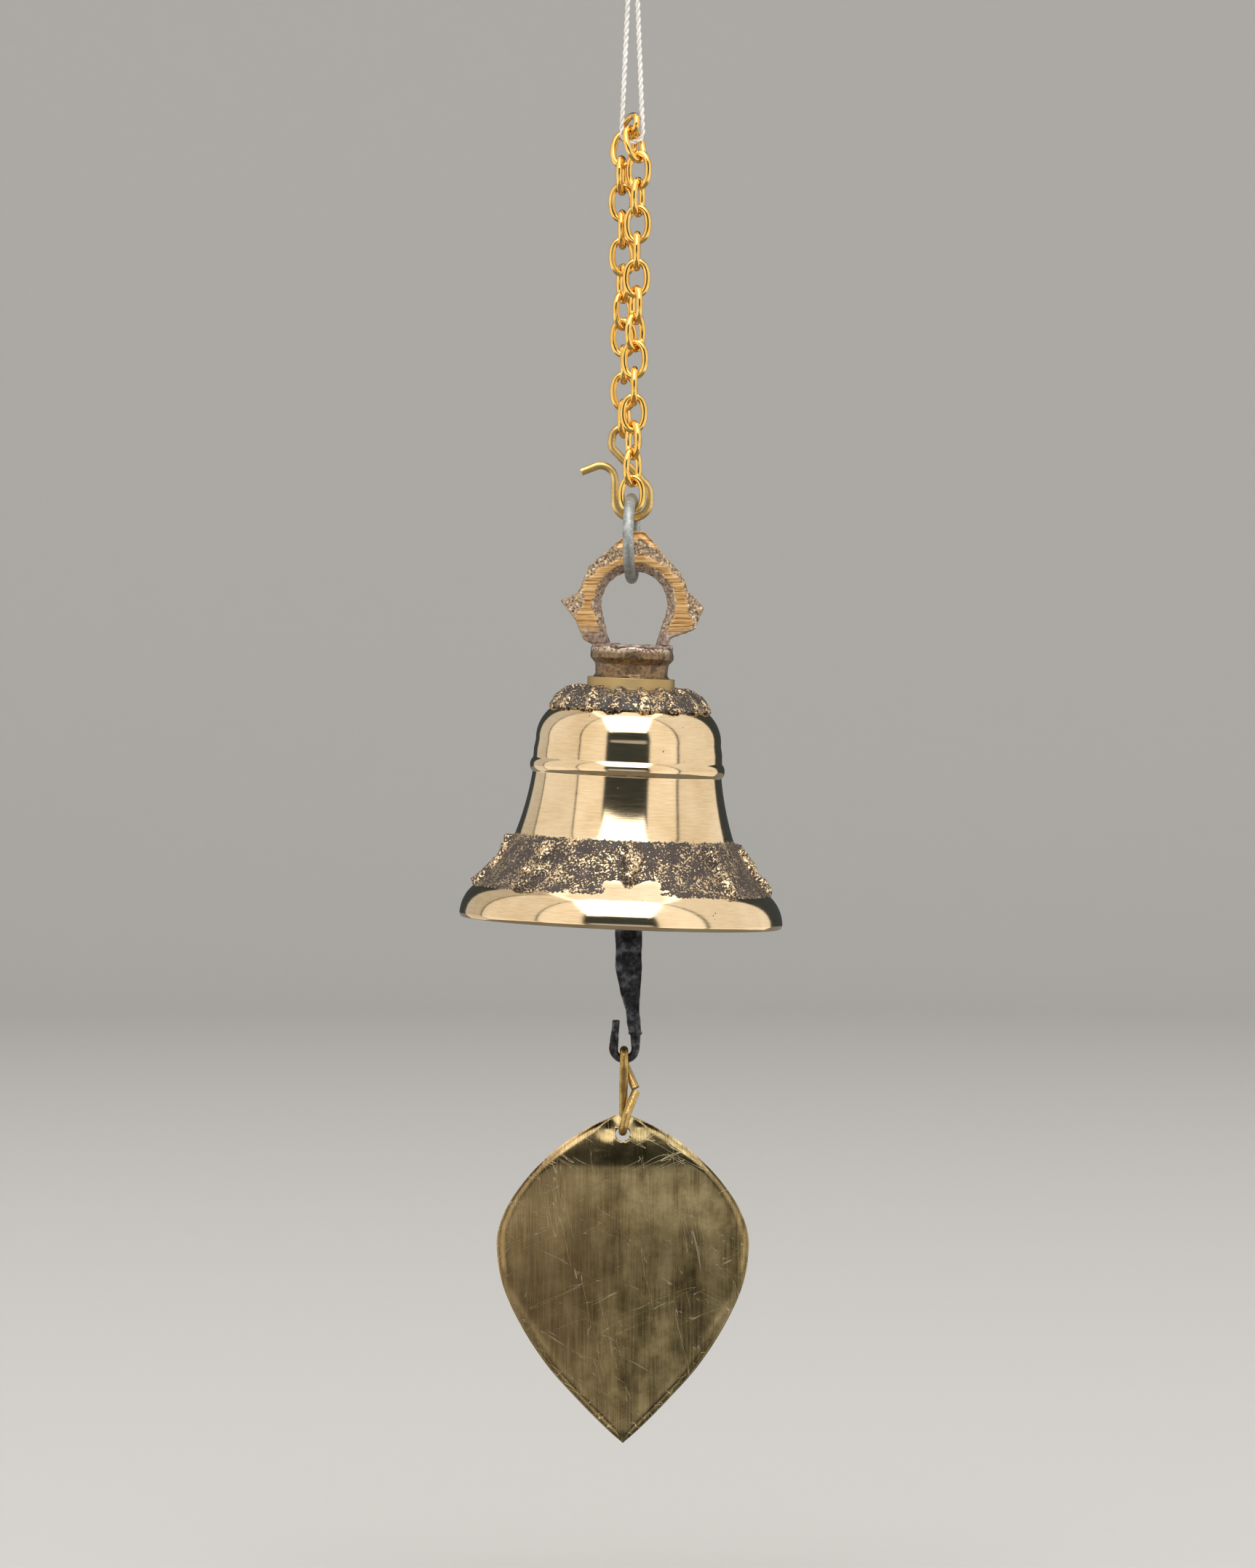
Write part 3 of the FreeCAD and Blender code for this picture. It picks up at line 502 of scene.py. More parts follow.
drawn_wire.links.new(marks.outputs[0], shown.inputs["Normal"])


def wire_brass(name, tones, low_gloss, high_gloss, dents):
    """Drawn brass wire in three tones, with its own gloss and dents."""
    made, tree, shader = finish_of(name, Metallic=1.0)
    wire = tree.nodes.new("ShaderNodeGroup")
    wire.node_tree = drawn_wire
    for key, tone in zip(("Dark", "Middle", "Light"), tones):
        wire.inputs[key].default_value = (*tone, 1)
    for key, value in (("Low Gloss", low_gloss), ("High Gloss", high_gloss), ("Dents", dents)):
        wire.inputs[key].default_value = value
    for made_by, goes_to in (("Color", "Base Color"), ("Roughness", "Roughness"), ("Normal", "Normal")):
        tree.links.new(wire.outputs[made_by], shader.inputs[goes_to])
    return made


hook_brass = wire_brass(
    "satin_hook_brass", ((0.52, 0.34, 0.1), (0.72, 0.51, 0.2), (0.86, 0.68, 0.36)), 0.42, 0.28, 0.3
)
cut_copper = wire_brass("cut_end", ((0.55, 0.27, 0.18), (0.8, 0.5, 0.38), (0.95, 0.72, 0.6)), 0.5, 0.3, 0.5)
# a bent wire: its route is straight runs joined by round bends, and its thickness swells a little
bent_wire, given, result = new_tree(
    "bent_wire", [("Thickness", "Float"), ("Unevenness", "Float"), ("Sides", "Int"), ("Material", "Material")]
)
route = add(bent_wire, "GeometryNodeMeshToCurve", {"Mesh": given.outputs["Geometry"]})
fine = add(
    bent_wire, "GeometryNodeResampleCurve", {"Curve": route.outputs[0], "Length": 0.1 * MM}, mode="LENGTH"
)
wave = add(
    bent_wire,
    "ShaderNodeTexNoise",
    {"Vector": bent_wire.nodes.new("GeometryNodeInputPosition").outputs[0], "Scale": 420.0},
)
swell = less(bent_wire, wave.outputs["Fac"], 0.5)
thick = sum_of(bent_wire, "MULTIPLY_ADD", swell, given.outputs["Unevenness"], 1.0)
uneven = add(bent_wire, "GeometryNodeSetCurveRadius", {"Curve": fine.outputs[0], "Radius": thick})
half = times(bent_wire, given.outputs["Thickness"], 0.5)
rim = add(
    bent_wire, "GeometryNodeCurvePrimitiveCircle", {"Resolution": given.outputs["Sides"], "Radius": half}
)
body = add(
    bent_wire,
    "GeometryNodeCurveToMesh",
    {"Curve": uneven.outputs[0], "Profile Curve": rim.outputs[0], "Scale": thick, "Fill Caps": True},
)
end_tree(bent_wire, body.outputs[0], given, result)


def bent_route(name, points, radii, slide=(0, 0, 0)):
    """A line mesh of straight runs joined by round bends, in millimetres, then moved by slide."""
    line = [Vector(points[0])]
    for before, corner, after, radius in zip(points, points[1:], points[2:], radii[1:]):
        corner = Vector(corner)
        a, b = (Vector(before) - corner).normalized(), (Vector(after) - corner).normalized()
        half_turn = (math.pi - a.angle(b)) / 2
        pull = radius * math.tan(half_turn)
        centre = corner + (a + b).normalized() * (radius / math.cos(half_turn))
        start, end = corner + a * pull - centre, corner + b * pull - centre
        for n in range(13):
            line.append(centre + (start.lerp(end, n / 12)).normalized() * radius)
    line.append(Vector(points[-1]))
    made = bpy.data.meshes.new(name)
    made.from_pydata([(p + Vector(slide)) * MM for p in line], [(n, n + 1) for n in range(len(line) - 1)], [])
    return made


hook_low, hook_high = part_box("s_hook")
hook_y = (hook_low.y + hook_high.y) / 2 / MM
hook = grow(
    bent_wire,
    "s_hook_wire",
    bent_route(
        "hook_route",
        [
            (-0.274, hook_y, -77.442),
            (0.87, hook_y, -76.562),
            (0.43, hook_y, -73.834),
            (-3.09, hook_y, -73.834),
            (-3.354, hook_y, -76.826),
            (2.608, hook_y, -83.184),
            (2.608, hook_y, -87.734),
            (-2.8, hook_y, -87.734),
            (-2.8, hook_y, -78.634),
            (-7.97, hook_y, -80.65),
        ],
        [0, 0.8, 1.6, 1.6, 1.3, 2.3, 2.55, 2.55, 2.2, 0],
    ),
    Thickness=1.2 * MM,
    Unevenness=0.03,
    Sides=28,
    Material=hook_brass,
)
hook.data.materials.append(cut_copper)
for face in hook.data.polygons:
    if len(face.vertices) > 4:
        face.material_index = 1
        face.use_smooth = False
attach(hook, "s_hook")
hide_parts("s_hook")


# ---------------------------------------------------------------- iron ring
# A closed ring of grey galvanised iron wire, dull and mottled, with rubbed brighter patches.
galvanised, tree, shader = finish_of("galvanised_iron", Metallic=0.9)
spot = add(tree, "ShaderNodeTexCoord").outputs["Object"]
mottle = noise_of(tree, spot, 520.0, 6.0, 0.65)
grit = noise_of(tree, spot, 3800.0, 2.0)
mix = sum_of(tree, "MULTIPLY_ADD", grit.outputs["Fac"], 0.35, times(tree, mottle.outputs["Fac"], 0.68))
tree.links.new(
    colours(tree, mix, (0.36, (0.24, 0.26, 0.25)), (0.5, (0.38, 0.4, 0.39)), (0.62, (0.52, 0.54, 0.53))),
    shader.inputs["Base Color"],
)
tree.links.new(colours(tree, mix, (0.36, (0.66,) * 3), (0.62, (0.5,) * 3)), shader.inputs["Roughness"])
bumped(tree, shader, mix, 0.45, 0.06 * MM)

ring = own_copy("iron_ring", "ring_of_iron", galvanised)
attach(ring, "iron_ring")
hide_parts("iron_ring")


# ---------------------------------------------------------------- bell casting
# Cast brass turned bright on the lathe: flange, shoulder, bead, waist and flared lip are polished, and
# the two relief bands between them are left as cast, dark in their grounds and rubbed bright on top.
BELL_TILT = math.radians(2.45)
LIP_RADIUS = 25.05
shell_low, shell_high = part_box("bell_shell")
mouth = Vector(
    (
        (shell_low.x + shell_high.x) / 2 - 0.85 * MM * math.sin(BELL_TILT),
        (shell_low.y + shell_high.y) / 2,
        shell_low.z + LIP_RADIUS * MM * math.sin(BELL_TILT),
    )
)
BELL_TURN = Euler((0, BELL_TILT, 0))


def arc(start, middle, end, count):
    """Points after the first on the circle through three (radius, height) points."""
    (ax, ay), (bx, by), (cx, cy) = start, middle, end
    d = 2 * (ax * (by - cy) + bx * (cy - ay) + cx * (ay - by))
    a2, b2, c2 = ax * ax + ay * ay, bx * bx + by * by, cx * cx + cy * cy
    ux = (a2 * (by - cy) + b2 * (cy - ay) + c2 * (ay - by)) / d
    uy = (a2 * (cx - bx) + b2 * (ax - cx) + c2 * (bx - ax)) / d
    radius = math.hypot(ax - ux, ay - uy)
    first = math.atan2(ay - uy, ax - ux)
    last = math.atan2(cy - uy, cx - ux)
    mid = math.atan2(by - uy, bx - ux)
    turn = (last - first) % (2 * math.pi)
    if (mid - first) % (2 * math.pi) > turn:
        turn -= 2 * math.pi
    return [
        (ux + radius * math.cos(first + turn * n / count), uy + radius * math.sin(first + turn * n / count))
        for n in range(1, count + 1)
    ]


def eased(points, ease=0.12):
    """The same outline with each sharp corner broken by a small round."""
    made = [points[0]]
    for before, here, after in zip(points, points[1:], points[2:]):
        a, b, c = Vector(before), Vector(here), Vector(after)
        if (b - a).angle(c - b) > 0.35:
            back = min(ease, (b - a).length * 0.4)
            on = min(ease, (c - b).length * 0.4)
            start, end = b + (a - b).normalized() * back, b + (c - b).normalized() * on
            made += [tuple(start), tuple((start + b * 2 + end) / 4), tuple(end)]
        else:
            made.append(here)
    return made + [points[-1]]


# corners of the outline as (radius, height above the mouth), in millimetres
RIM_FACE = (24.0, 0.45)
BAND_LOW, BAND_TOP = (23.1, 5.2), (16.8, 13.9)
BEAD_LOW, BEAD_MIDDLE, BEAD_TOP = (14.6, 23.3), (15.05, 24.4), (14.6, 25.5)
SHOULDER_FOOT = (14.3, 28.3)
PETALS_LOW, PETALS_TOP = (12.3, 33.4), (6.75, 36.5)
FLANGE_RADIUS = 6.75
BELL_TALL = 38.3
AXIS_GAP = 0.02
flare = arc(BAND_LOW, (19.551, 8.977), BAND_TOP, 22)
waist = arc(BAND_TOP, (15.532, 18.228), BEAD_LOW, 26)
bead = arc(BEAD_LOW, BEAD_MIDDLE, BEAD_TOP, 12)
shoulder = arc(SHOULDER_FOOT, (13.729, 31.184), (11.931, 33.4), 20)
crown = arc((12.25, 33.4), (10.9, 35.35), PETALS_TOP, 14)
outer = [RIM_FACE, (24.75, 0.47)] + arc((24.98, 0.75), (24.72, 2.6), BAND_LOW, 16) + flare + waist + bead
outer += [(14.55, 26.9), SHOULDER_FOOT] + shoulder + [PETALS_LOW] + crown
outer += [(FLANGE_RADIUS, BELL_TALL), (AXIS_GAP, BELL_TALL)]
inner = [
    (AXIS_GAP, 34.3),
    (9.2, 34.3),
    (11.3, 32.0),
    (12.3, 28.3),
    (12.6, 23.3),
    (14.8, 13.9),
    (21.1, 5.2),
    (22.6, 1.9),
    (23.05, 0.5),
    RIM_FACE,
]


def profile_mesh(points):
    """An outline of (radius, height) points as a line mesh."""
    made = bpy.data.meshes.new("turned_profile")
    made.from_pydata(
        [(r * MM, 0, h * MM) for r, h in points], [(n, n + 1) for n in range(len(points) - 1)], []
    )
    return made


# a tree that turns a profile into a casting and raises relief on it
turned, given, result = new_tree(
    "turned_casting",
    [
        ("Rows", "Int"),
        ("Around", "Int"),
        ("Lift", "Float"),
        ("Edge Dip", "Float"),
        ("Grain", "Float"),
        ("Grain Depth", "Float"),
        ("Lumps", "Float"),
        ("Lump Depth", "Float"),
        ("Motifs", "Float"),
        ("Motif Phase", "Float"),
        ("Motif Width", "Float"),
        ("Motif Height", "Float"),
        ("Cut In", "Float"),
        ("Seed", "Float"),
        ("Place", "Vector"),
        ("Turn", "Vector"),
        ("Material", "Material"),
    ],
)
T = turned
columns = plus(T, given.outputs["Around"], 1.0)
sheet_grid = add(
    T,
    "GeometryNodeMeshGrid",
    {"Vertices X": columns, "Vertices Y": given.outputs["Rows"], "Size X": 1.0, "Size Y": 1.0},
)
index = T.nodes.new("GeometryNodeInputIndex").outputs[0]
row = sum_of(T, "FLOORED_MODULO", index, given.outputs["Rows"])
column = sum_of(T, "FLOOR", sum_of(T, "DIVIDE", plus(T, index, 0.25), given.outputs["Rows"]))
angle = times(T, sum_of(T, "DIVIDE", column, given.outputs["Around"]), 2 * math.pi)
here = add(
    T,
    "GeometryNodeSampleIndex",
    {
        "Geometry": given.outputs["Geometry"],
        "Value": T.nodes.new("GeometryNodeInputPosition").outputs[0],
        "Index": row,
    },
    data_type="FLOAT_VECTOR",
    domain="POINT",
)
spun = add(
    T,
    "ShaderNodeVectorRotate",
    {"Vector": here.outputs[0], "Axis": (0, 0, 1), "Angle": angle},
    rotation_type="AXIS_ANGLE",
)
body = add(T, "GeometryNodeSetPosition", {"Geometry": sheet_grid.outputs[0], "Position": spun.outputs[0]})
sewn = add(T, "GeometryNodeMergeByDistance", {"Geometry": body.outputs[0], "Distance": 0.004 * MM})
# relief: grain and lumps from noise, and evenly spaced upright motifs, all fading out at the two edges
flat = add(T, "ShaderNodeSeparateXYZ", {"Vector": T.nodes.new("GeometryNodeInputPosition").outputs[0]})
stored_row = add(
    T,
    "GeometryNodeStoreNamedAttribute",
    {
        "Geometry": body.outputs[0],
        "Name": "row",
        "Value": sum_of(T, "DIVIDE", row, less(T, given.outputs["Rows"], 1.0)),
    },
    data_type="FLOAT",
    domain="POINT",
)
T.links.new(stored_row.outputs[0], sewn.inputs[0])
share = add(T, "GeometryNodeInputNamedAttribute", {"Name": "row"}, data_type="FLOAT").outputs[0]
at = T.nodes.new("GeometryNodeInputPosition").outputs[0]
seeded = add(T, "ShaderNodeCombineXYZ", {"X": given.outputs["Seed"], "Y": given.outputs["Seed"]})
shifted = vector_of(T, "ADD", at, seeded.outputs[0])
grain = noise_of(T, shifted, given.outputs["Grain"], 2.0)
lumps = noise_of(T, shifted, given.outputs["Lumps"], 3.0)
around = sum_of(T, "ARCTAN2", flat.outputs["Y"], flat.outputs["X"])
sway = times(T, less(T, lumps.outputs["Fac"], 0.5), 0.22)
phase = times(T, plus(T, less(T, around, given.outputs["Motif Phase"]), sway), given.outputs["Motifs"])
wave = sum_of(T, "COSINE", phase)
stand = window(T, wave, less(T, 1.0, given.outputs["Motif Width"]), 1.0)
bulge = times(T, stand, given.outputs["Motif Height"])
knobbly = times(T, bulge, sum_of(T, "MULTIPLY_ADD", lumps.outputs["Fac"], 1.5, 0.25))
rough = times(T, less(T, grain.outputs["Fac"], 0.5), given.outputs["Grain Depth"])
wander = times(T, less(T, lumps.outputs["Fac"], 0.5), given.outputs["Lump Depth"])
ends = times(T, times(T, share, less(T, 1.0, share)), 4.0)
held = window(T, plus(T, ends, times(T, less(T, grain.outputs["Fac"], 0.5), 0.35)), 0.0, 0.3)
near_front = window(T, plus(T, sum_of(T, "COSINE", plus(T, around, 1.5)), times(T, sway, 0.12)), 0.975, 0.982)
low_rows = less(T, 1.0, window(T, plus(T, share, sway), 0.3, 0.36))
open_cut = times(T, times(T, near_front, low_rows), given.outputs["Cut In"])
held = times(T, held, less(T, 1.0, open_cut))
proud = plus(T, plus(T, knobbly, rough), plus(T, wander, given.outputs["Lift"]))
dip = times(T, less(T, 1.0, held), given.outputs["Edge Dip"])
height = less(T, times(T, proud, held), dip)
out = vector_of(T, "SCALE", T.nodes.new("GeometryNodeInputNormal").outputs[0], height)
marked = add(
    T,
    "GeometryNodeStoreNamedAttribute",
    {"Geometry": sewn.outputs[0], "Name": "raised", "Value": times(T, stand, held)},
    data_type="FLOAT",
    domain="POINT",
)
raised = add(T, "GeometryNodeSetPosition", {"Geometry": marked.outputs[0], "Offset": out})
set_up = add(
    T,
    "GeometryNodeTransform",
    {"Geometry": raised.outputs[0], "Translation": given.outputs["Place"], "Rotation": given.outputs["Turn"]},
)
end_tree(T, set_up.outputs[0], given, result)


def turned_piece(name, points, material, **values):
    """One turned piece in the bell's own place, its faces pointing outwards."""
    settings = {"Grain": 1000.0, "Lumps": 300.0, "Motifs": 8.0, "Motif Width": 0.1, "Around": 180}
    settings.update(values)
    return grow(
        turned,
        name,
        profile_mesh(points),
        Rows=len(points),
        Place=mouth,
        Turn=Vector(BELL_TURN),
        Material=material,
        **settings,
    )


# what the bell's materials share: height above the mouth and distance from its axis, in millimetres
own_axis = bpy.data.node_groups.new("bell_axis", "ShaderNodeTree")
for key in ("Height", "Radius"):
    own_axis.interface.new_socket(key, in_out="OUTPUT", socket_type="NodeSocketFloat")
own_axis.interface.new_socket("Round", in_out="OUTPUT", socket_type="NodeSocketVector")
spot = add(own_axis, "ShaderNodeTexCoord").outputs["Object"]
from_mouth = vector_of(own_axis, "SUBTRACT", spot, tuple(mouth))
upright = add(
    own_axis,
    "ShaderNodeVectorRotate",
    {"Vector": from_mouth, "Axis": (0, 1, 0), "Angle": -BELL_TILT},
    rotation_type="AXIS_ANGLE",
)
in_mm = vector_of(own_axis, "SCALE", upright.outputs[0], 1000.0)
split = add(own_axis, "ShaderNodeSeparateXYZ", {"Vector": in_mm})
level = add(own_axis, "ShaderNodeCombineXYZ", {"X": split.outputs["X"], "Y": split.outputs["Y"]})
outward = own_axis.nodes.new("NodeGroupOutput")
own_axis.links.new(split.outputs["Z"], outward.inputs["Height"])
own_axis.links.new(vector_of(own_axis, "LENGTH", level.outputs[0], out=1), outward.inputs["Radius"])
own_axis.links.new(in_mm, outward.inputs["Round"])

# as-cast skin: a worm-like grain whose tops are rubbed bright over a dark ground
cast_skin = bpy.data.node_groups.new("cast_skin", "ShaderNodeTree")
for key in ("Size", "Rubbed"):
    cast_skin.interface.new_socket(key, in_out="INPUT", socket_type="NodeSocketFloat")
cast_skin.interface.new_socket("Vector", in_out="INPUT", socket_type="NodeSocketVector")
for key in ("Bright", "Relief"):
    cast_skin.interface.new_socket(key, in_out="OUTPUT", socket_type="NodeSocketFloat")
taken = cast_skin.nodes.new("NodeGroupInput")
warp = noise_of(cast_skin, taken.outputs["Vector"], 2.2, 2.0)
bent_way = vector_of(
    cast_skin, "MULTIPLY_ADD", warp.outputs["Color"], (0.5, 0.5, 0.5), taken.outputs["Vector"]
)
worms = noise_of(cast_skin, bent_way, taken.outputs["Size"], 1.5, 0.55)
patches = noise_of(cast_skin, taken.outputs["Vector"], 0.32, 3.0)
level = sum_of(
    cast_skin, "MULTIPLY_ADD", less(cast_skin, patches.outputs["Fac"], 0.5), 0.5, worms.outputs["Fac"]
)
level = plus(cast_skin, level, taken.outputs["Rubbed"])
gives = cast_skin.nodes.new("NodeGroupOutput")
cast_skin.links.new(window(cast_skin, level, 0.525, 0.575), gives.inputs["Bright"])
cast_skin.links.new(window(cast_skin, level, 0.4, 0.62), gives.inputs["Relief"])

CHAMPAGNE = ((0.68, 0.5, 0.29), (0.79, 0.61, 0.39), (0.87, 0.7, 0.48))
GROUND = ((0.035, 0.029, 0.026), (0.085, 0.07, 0.062))


def group(tree, source, **inputs):
    """A node that holds a shared group, with its inputs linked or given a value."""
    made = tree.nodes.new("ShaderNodeGroup")
    made.node_tree = source
    for key, value in inputs.items():
        if isinstance(value, bpy.types.NodeSocket):
            tree.links.new(value, made.inputs[key])
        else:
            made.inputs[key].default_value = value
    return made


polished, tree, shader = finish_of("polished_bell_brass")
axis = group(tree, own_axis)
lathe_way = add(
    tree,
    "ShaderNodeCombineXYZ",
    {"X": times(tree, axis.outputs["Radius"], 6.0), "Z": times(tree, axis.outputs["Height"], 6.0)},
)
cuts = noise_of(tree, lathe_way.outputs[0], 1.0, 5.0, 0.75)
broad = noise_of(tree, axis.outputs["Round"], 0.12, 3.0)
smear = add(tree, "ShaderNodeMapping", {"Vector": axis.outputs["Round"], "Scale": (0.35, 0.35, 4.5)})
streaks = noise_of(tree, smear.outputs[0], 1.0, 4.0, 0.65)
tone = sum_of(tree, "MULTIPLY_ADD", streaks.outputs["Fac"], 0.45, times(tree, broad.outputs["Fac"], 0.55))
brass = colours(tree, tone, (0.36, CHAMPAGNE[0]), (0.5, CHAMPAGNE[1]), (0.66, CHAMPAGNE[2]))
# casting pits: few, small, brown, and gathered on the shoulder
pit_cells = add(tree, "ShaderNodeTexVoronoi", {"Vector": axis.outputs["Round"], "Scale": 1.15})
pit_size = noise_of(tree, axis.outputs["Round"], 0.33, 2.0)
near_shoulder = times(
    tree,
    window(tree, axis.outputs["Height"], 30.2, 30.9),
    window(tree, times(tree, axis.outputs["Height"], -1.0), -32.2, -31.5),
)
crowd = sum_of(tree, "MULTIPLY_ADD", near_shoulder, 0.13, window(tree, pit_size.outputs["Fac"], 0.5, 0.72))
reach = times(tree, crowd, 0.16)
pits = window(tree, less(tree, reach, pit_cells.outputs["Distance"]), 0.0, 0.03)
dark_skin = group(tree, cast_skin, Size=3.0, Rubbed=-0.03, Vector=axis.outputs["Round"])
edge = noise_of(tree, axis.outputs["Round"], 1.6, 4.0)
jag = times(tree, less(tree, edge.outputs["Fac"], 0.5), 1.3)
up = plus(tree, axis.outputs["Height"], jag)
band = times(tree, window(tree, up, 8.4, 8.7), window(tree, times(tree, up, -1.0), -13.75, -13.55))
leaves = times(tree, window(tree, up, 33.25, 33.4), window(tree, axis.outputs["Radius"], 6.9, 7.3))
cast = sum_of(tree, "MAXIMUM", band, leaves)
ground = colours(tree, dark_skin.outputs["Relief"], (0.2, GROUND[0]), (0.8, GROUND[1]))
skin = blend_of(tree, dark_skin.outputs["Bright"], ground, CHAMPAGNE[0])
flange = times(
    tree,
    window(tree, axis.outputs["Height"], 36.3, 36.45),
    window(tree, times(tree, axis.outputs["Radius"], -1.0), -6.95, -6.85),
)
brass = blend_of(tree, flange, brass, (0.45, 0.325, 0.15))
surface = blend_of(tree, pits, brass, (0.10, 0.055, 0.03))
tree.links.new(blend_of(tree, cast, surface, skin), shader.inputs["Base Color"])
metal = less(tree, 1.0, times(tree, cast, less(tree, 1.0, dark_skin.outputs["Bright"])))
tree.links.new(less(tree, metal, times(tree, pits, 0.6)), shader.inputs["Metallic"])
shine = sum_of(tree, "MULTIPLY_ADD", streaks.outputs["Fac"], 0.12, 0.035)
shine = plus(
    tree, shine, times(tree, sum_of(tree, "MAXIMUM", flange, sum_of(tree, "MAXIMUM", cast, pits)), 0.36)
)
tree.links.new(shine, shader.inputs["Roughness"])
relief = times(tree, less(tree, cuts.outputs["Fac"], 0.5), 0.05)
relief = plus(tree, relief, times(tree, times(tree, pits, -1.0), 0.9))
relief = plus(tree, relief, times(tree, cast, dark_skin.outputs["Relief"]))
bumped(tree, shader, relief, 0.6, 0.1 * MM)

bell_piece = turned_piece("bell_casting", eased(outer) + eased(inner)[1:], polished)
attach(bell_piece, "bell")
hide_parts("bell_shell")


def cast_brass(name, size, rubbed, worn, tops):
    """As-cast relief: dark brown-grey ground, bright rubbed grain."""
    made, tree, shader = finish_of(name)
    axis = group(tree, own_axis)
    tops_worn = add(tree, "ShaderNodeAttribute", attribute_name="raised").outputs["Fac"]
    rub = sum_of(tree, "MULTIPLY_ADD", tops_worn, worn, rubbed)
    skin = group(tree, cast_skin, Size=size, Rubbed=rub, Vector=axis.outputs["Round"])
    fine = noise_of(tree, axis.outputs["Round"], 9.0, 3.0)
    dust = noise_of(tree, axis.outputs["Round"], 0.5, 4.0)
    ground = colours(
        tree,
        fine.outputs["Fac"],
        (0.3, (0.028, 0.02, 0.018)),
        (0.55, (0.07, 0.052, 0.046)),
        (0.8, (0.12, 0.095, 0.085)),
    )
    ground = blend_of(tree, window(tree, dust.outputs["Fac"], 0.5, 0.85), ground, (0.13, 0.105, 0.095))
    tone = colours(tree, fine.outputs["Fac"], (0.3, CHAMPAGNE[0]), (0.6, CHAMPAGNE[1]), (0.8, tops))
    tree.links.new(blend_of(tree, skin.outputs["Bright"], ground, tone), shader.inputs["Base Color"])
    metal = sum_of(tree, "MULTIPLY_ADD", skin.outputs["Bright"], 0.72, 0.28)
    tree.links.new(metal, shader.inputs["Metallic"])
    gloss = less(tree, 0.6, times(tree, skin.outputs["Bright"], 0.3))
    tree.links.new(gloss, shader.inputs["Roughness"])
    deep = sum_of(tree, "MULTIPLY_ADD", fine.outputs["Fac"], 0.12, skin.outputs["Relief"])
    bumped(tree, shader, deep, 0.85, 0.13 * MM)
    return made


relief_skin = cast_brass("relief_band_skin", 3.1, -0.035, 0.1, (0.98, 0.84, 0.6))
petal_skin = cast_brass("petal_skin", 2.6, -0.1, 0.14, (0.98, 0.84, 0.6))


def even_points(points, count):
    """An outline resampled to evenly spaced points."""
    spans = [0.0]
    for (a, b), (c, d) in zip(points, points[1:]):
        spans.append(spans[-1] + math.hypot(c - a, d - b))
    steps = np.linspace(0, spans[-1], count)
    return list(
        zip(np.interp(steps, spans, [p[0] for p in points]), np.interp(steps, spans, [p[1] for p in points]))
    )


relief_band = turned_piece(
    "relief_band",
    even_points([BAND_LOW] + flare[:-1], 66),
    relief_skin,
    Around=900,
    Lift=0.06 * MM,
    Grain=2300.0,
    Lumps=420.0,
    Seed=0.31,
    **{
        "Edge Dip": 0.12 * MM,
        "Grain Depth": 0.28 * MM,
        "Lump Depth": 0.3 * MM,
        "Motifs": 8.0,
        "Motif Phase": math.radians(-86),
        "Motif Width": 0.2,
        "Motif Height": 1.0 * MM,
        "Cut In": 1.0,
    },
)
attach(relief_band, "bell")
petal_band = turned_piece(
    "petal_band",
    even_points([(11.9, 33.3), (12.3, 33.38)] + [(r, h - 0.1) for r, h in crown[:-1]], 60),
    petal_skin,
    Around=700,
    Lift=-0.05 * MM,
    Grain=1700.0,
    Lumps=520.0,
    Seed=0.77,
    **{
        "Edge Dip": 0.16 * MM,
        "Grain Depth": 0.2 * MM,
        "Lump Depth": 0.35 * MM,
        "Motifs": 16.0,
        "Motif Phase": 0.2,
        "Motif Width": 1.5,
        "Motif Height": 0.55 * MM,
    },
)
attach(petal_band, "bell")


# ---------------------------------------------------------------- crown loop, braze and collar
# The loop is a rough casting whose front and back were filed flat and bright. It is brazed on to a
# turned collar, and the heat has left white, red and purple stains on the metal round the joint.
CROWN_FOOT = 43.3 * MM
up_axis = Vector((math.sin(BELL_TILT), 0, math.cos(BELL_TILT)))
side_axis = Vector((math.cos(BELL_TILT), 0, -math.sin(BELL_TILT)))
crown_foot = mouth + up_axis * CROWN_FOOT


def dense_copy(node, name, voxel, *materials, soften=0):
    """A solid's copy rebuilt in fine even cells, ready for its surface to be worked."""
    maker = own_copy(node, f"{name}_rough", *materials)
    cells = maker.modifiers.new("cells", "REMESH")
    cells.mode = "VOXEL"
    cells.voxel_size = voxel
    cells.use_smooth_shade = True
    if soften:
        soft = maker.modifiers.new("softened", "SMOOTH")
        soft.factor = 0.5
        soft.iterations = soften
    made = flat_mesh(maker, name)
    made.data.materials.clear()
    for material in materials:
        made.data.materials.append(material)
    return made


def fractal(place, scale, octaves=3):
    """Layered noise about 0, at a scale given in waves for each millimetre."""
    total, weight = 0.0, 1.0
    point = Vector(place) * (scale / MM)
    for _ in range(octaves):
        total += weight * noise.noise(point)
        point *= 2.03
        weight *= 0.5
    return total


def worked(piece, rule, masks=()):
    """Moves each corner along its normal by rule(place, normal), which also gives the mask values."""
    mesh = piece.data
    normals = [v.normal.copy() for v in mesh.vertices]
    layers = [mesh.attributes.new(m, "FLOAT", "POINT") for m in masks]
    for vertex, normal in zip(mesh.vertices, normals):
        move, *values = rule(vertex.co.copy(), normal)
        vertex.co += normal * move
        for layer, value in zip(layers, values):
            layer.data[vertex.index].value = value
    for face in mesh.polygons:
        face.use_smooth = True
    mesh.update()
    return piece


def step(value, low, high):
    """0 below low, 1 above high, smooth between, for a plain number."""
    t = min(max((value - low) / (high - low), 0.0), 1.0)
    return t * t * (3 - 2 * t)


HOLE_HEIGHT = 6.38


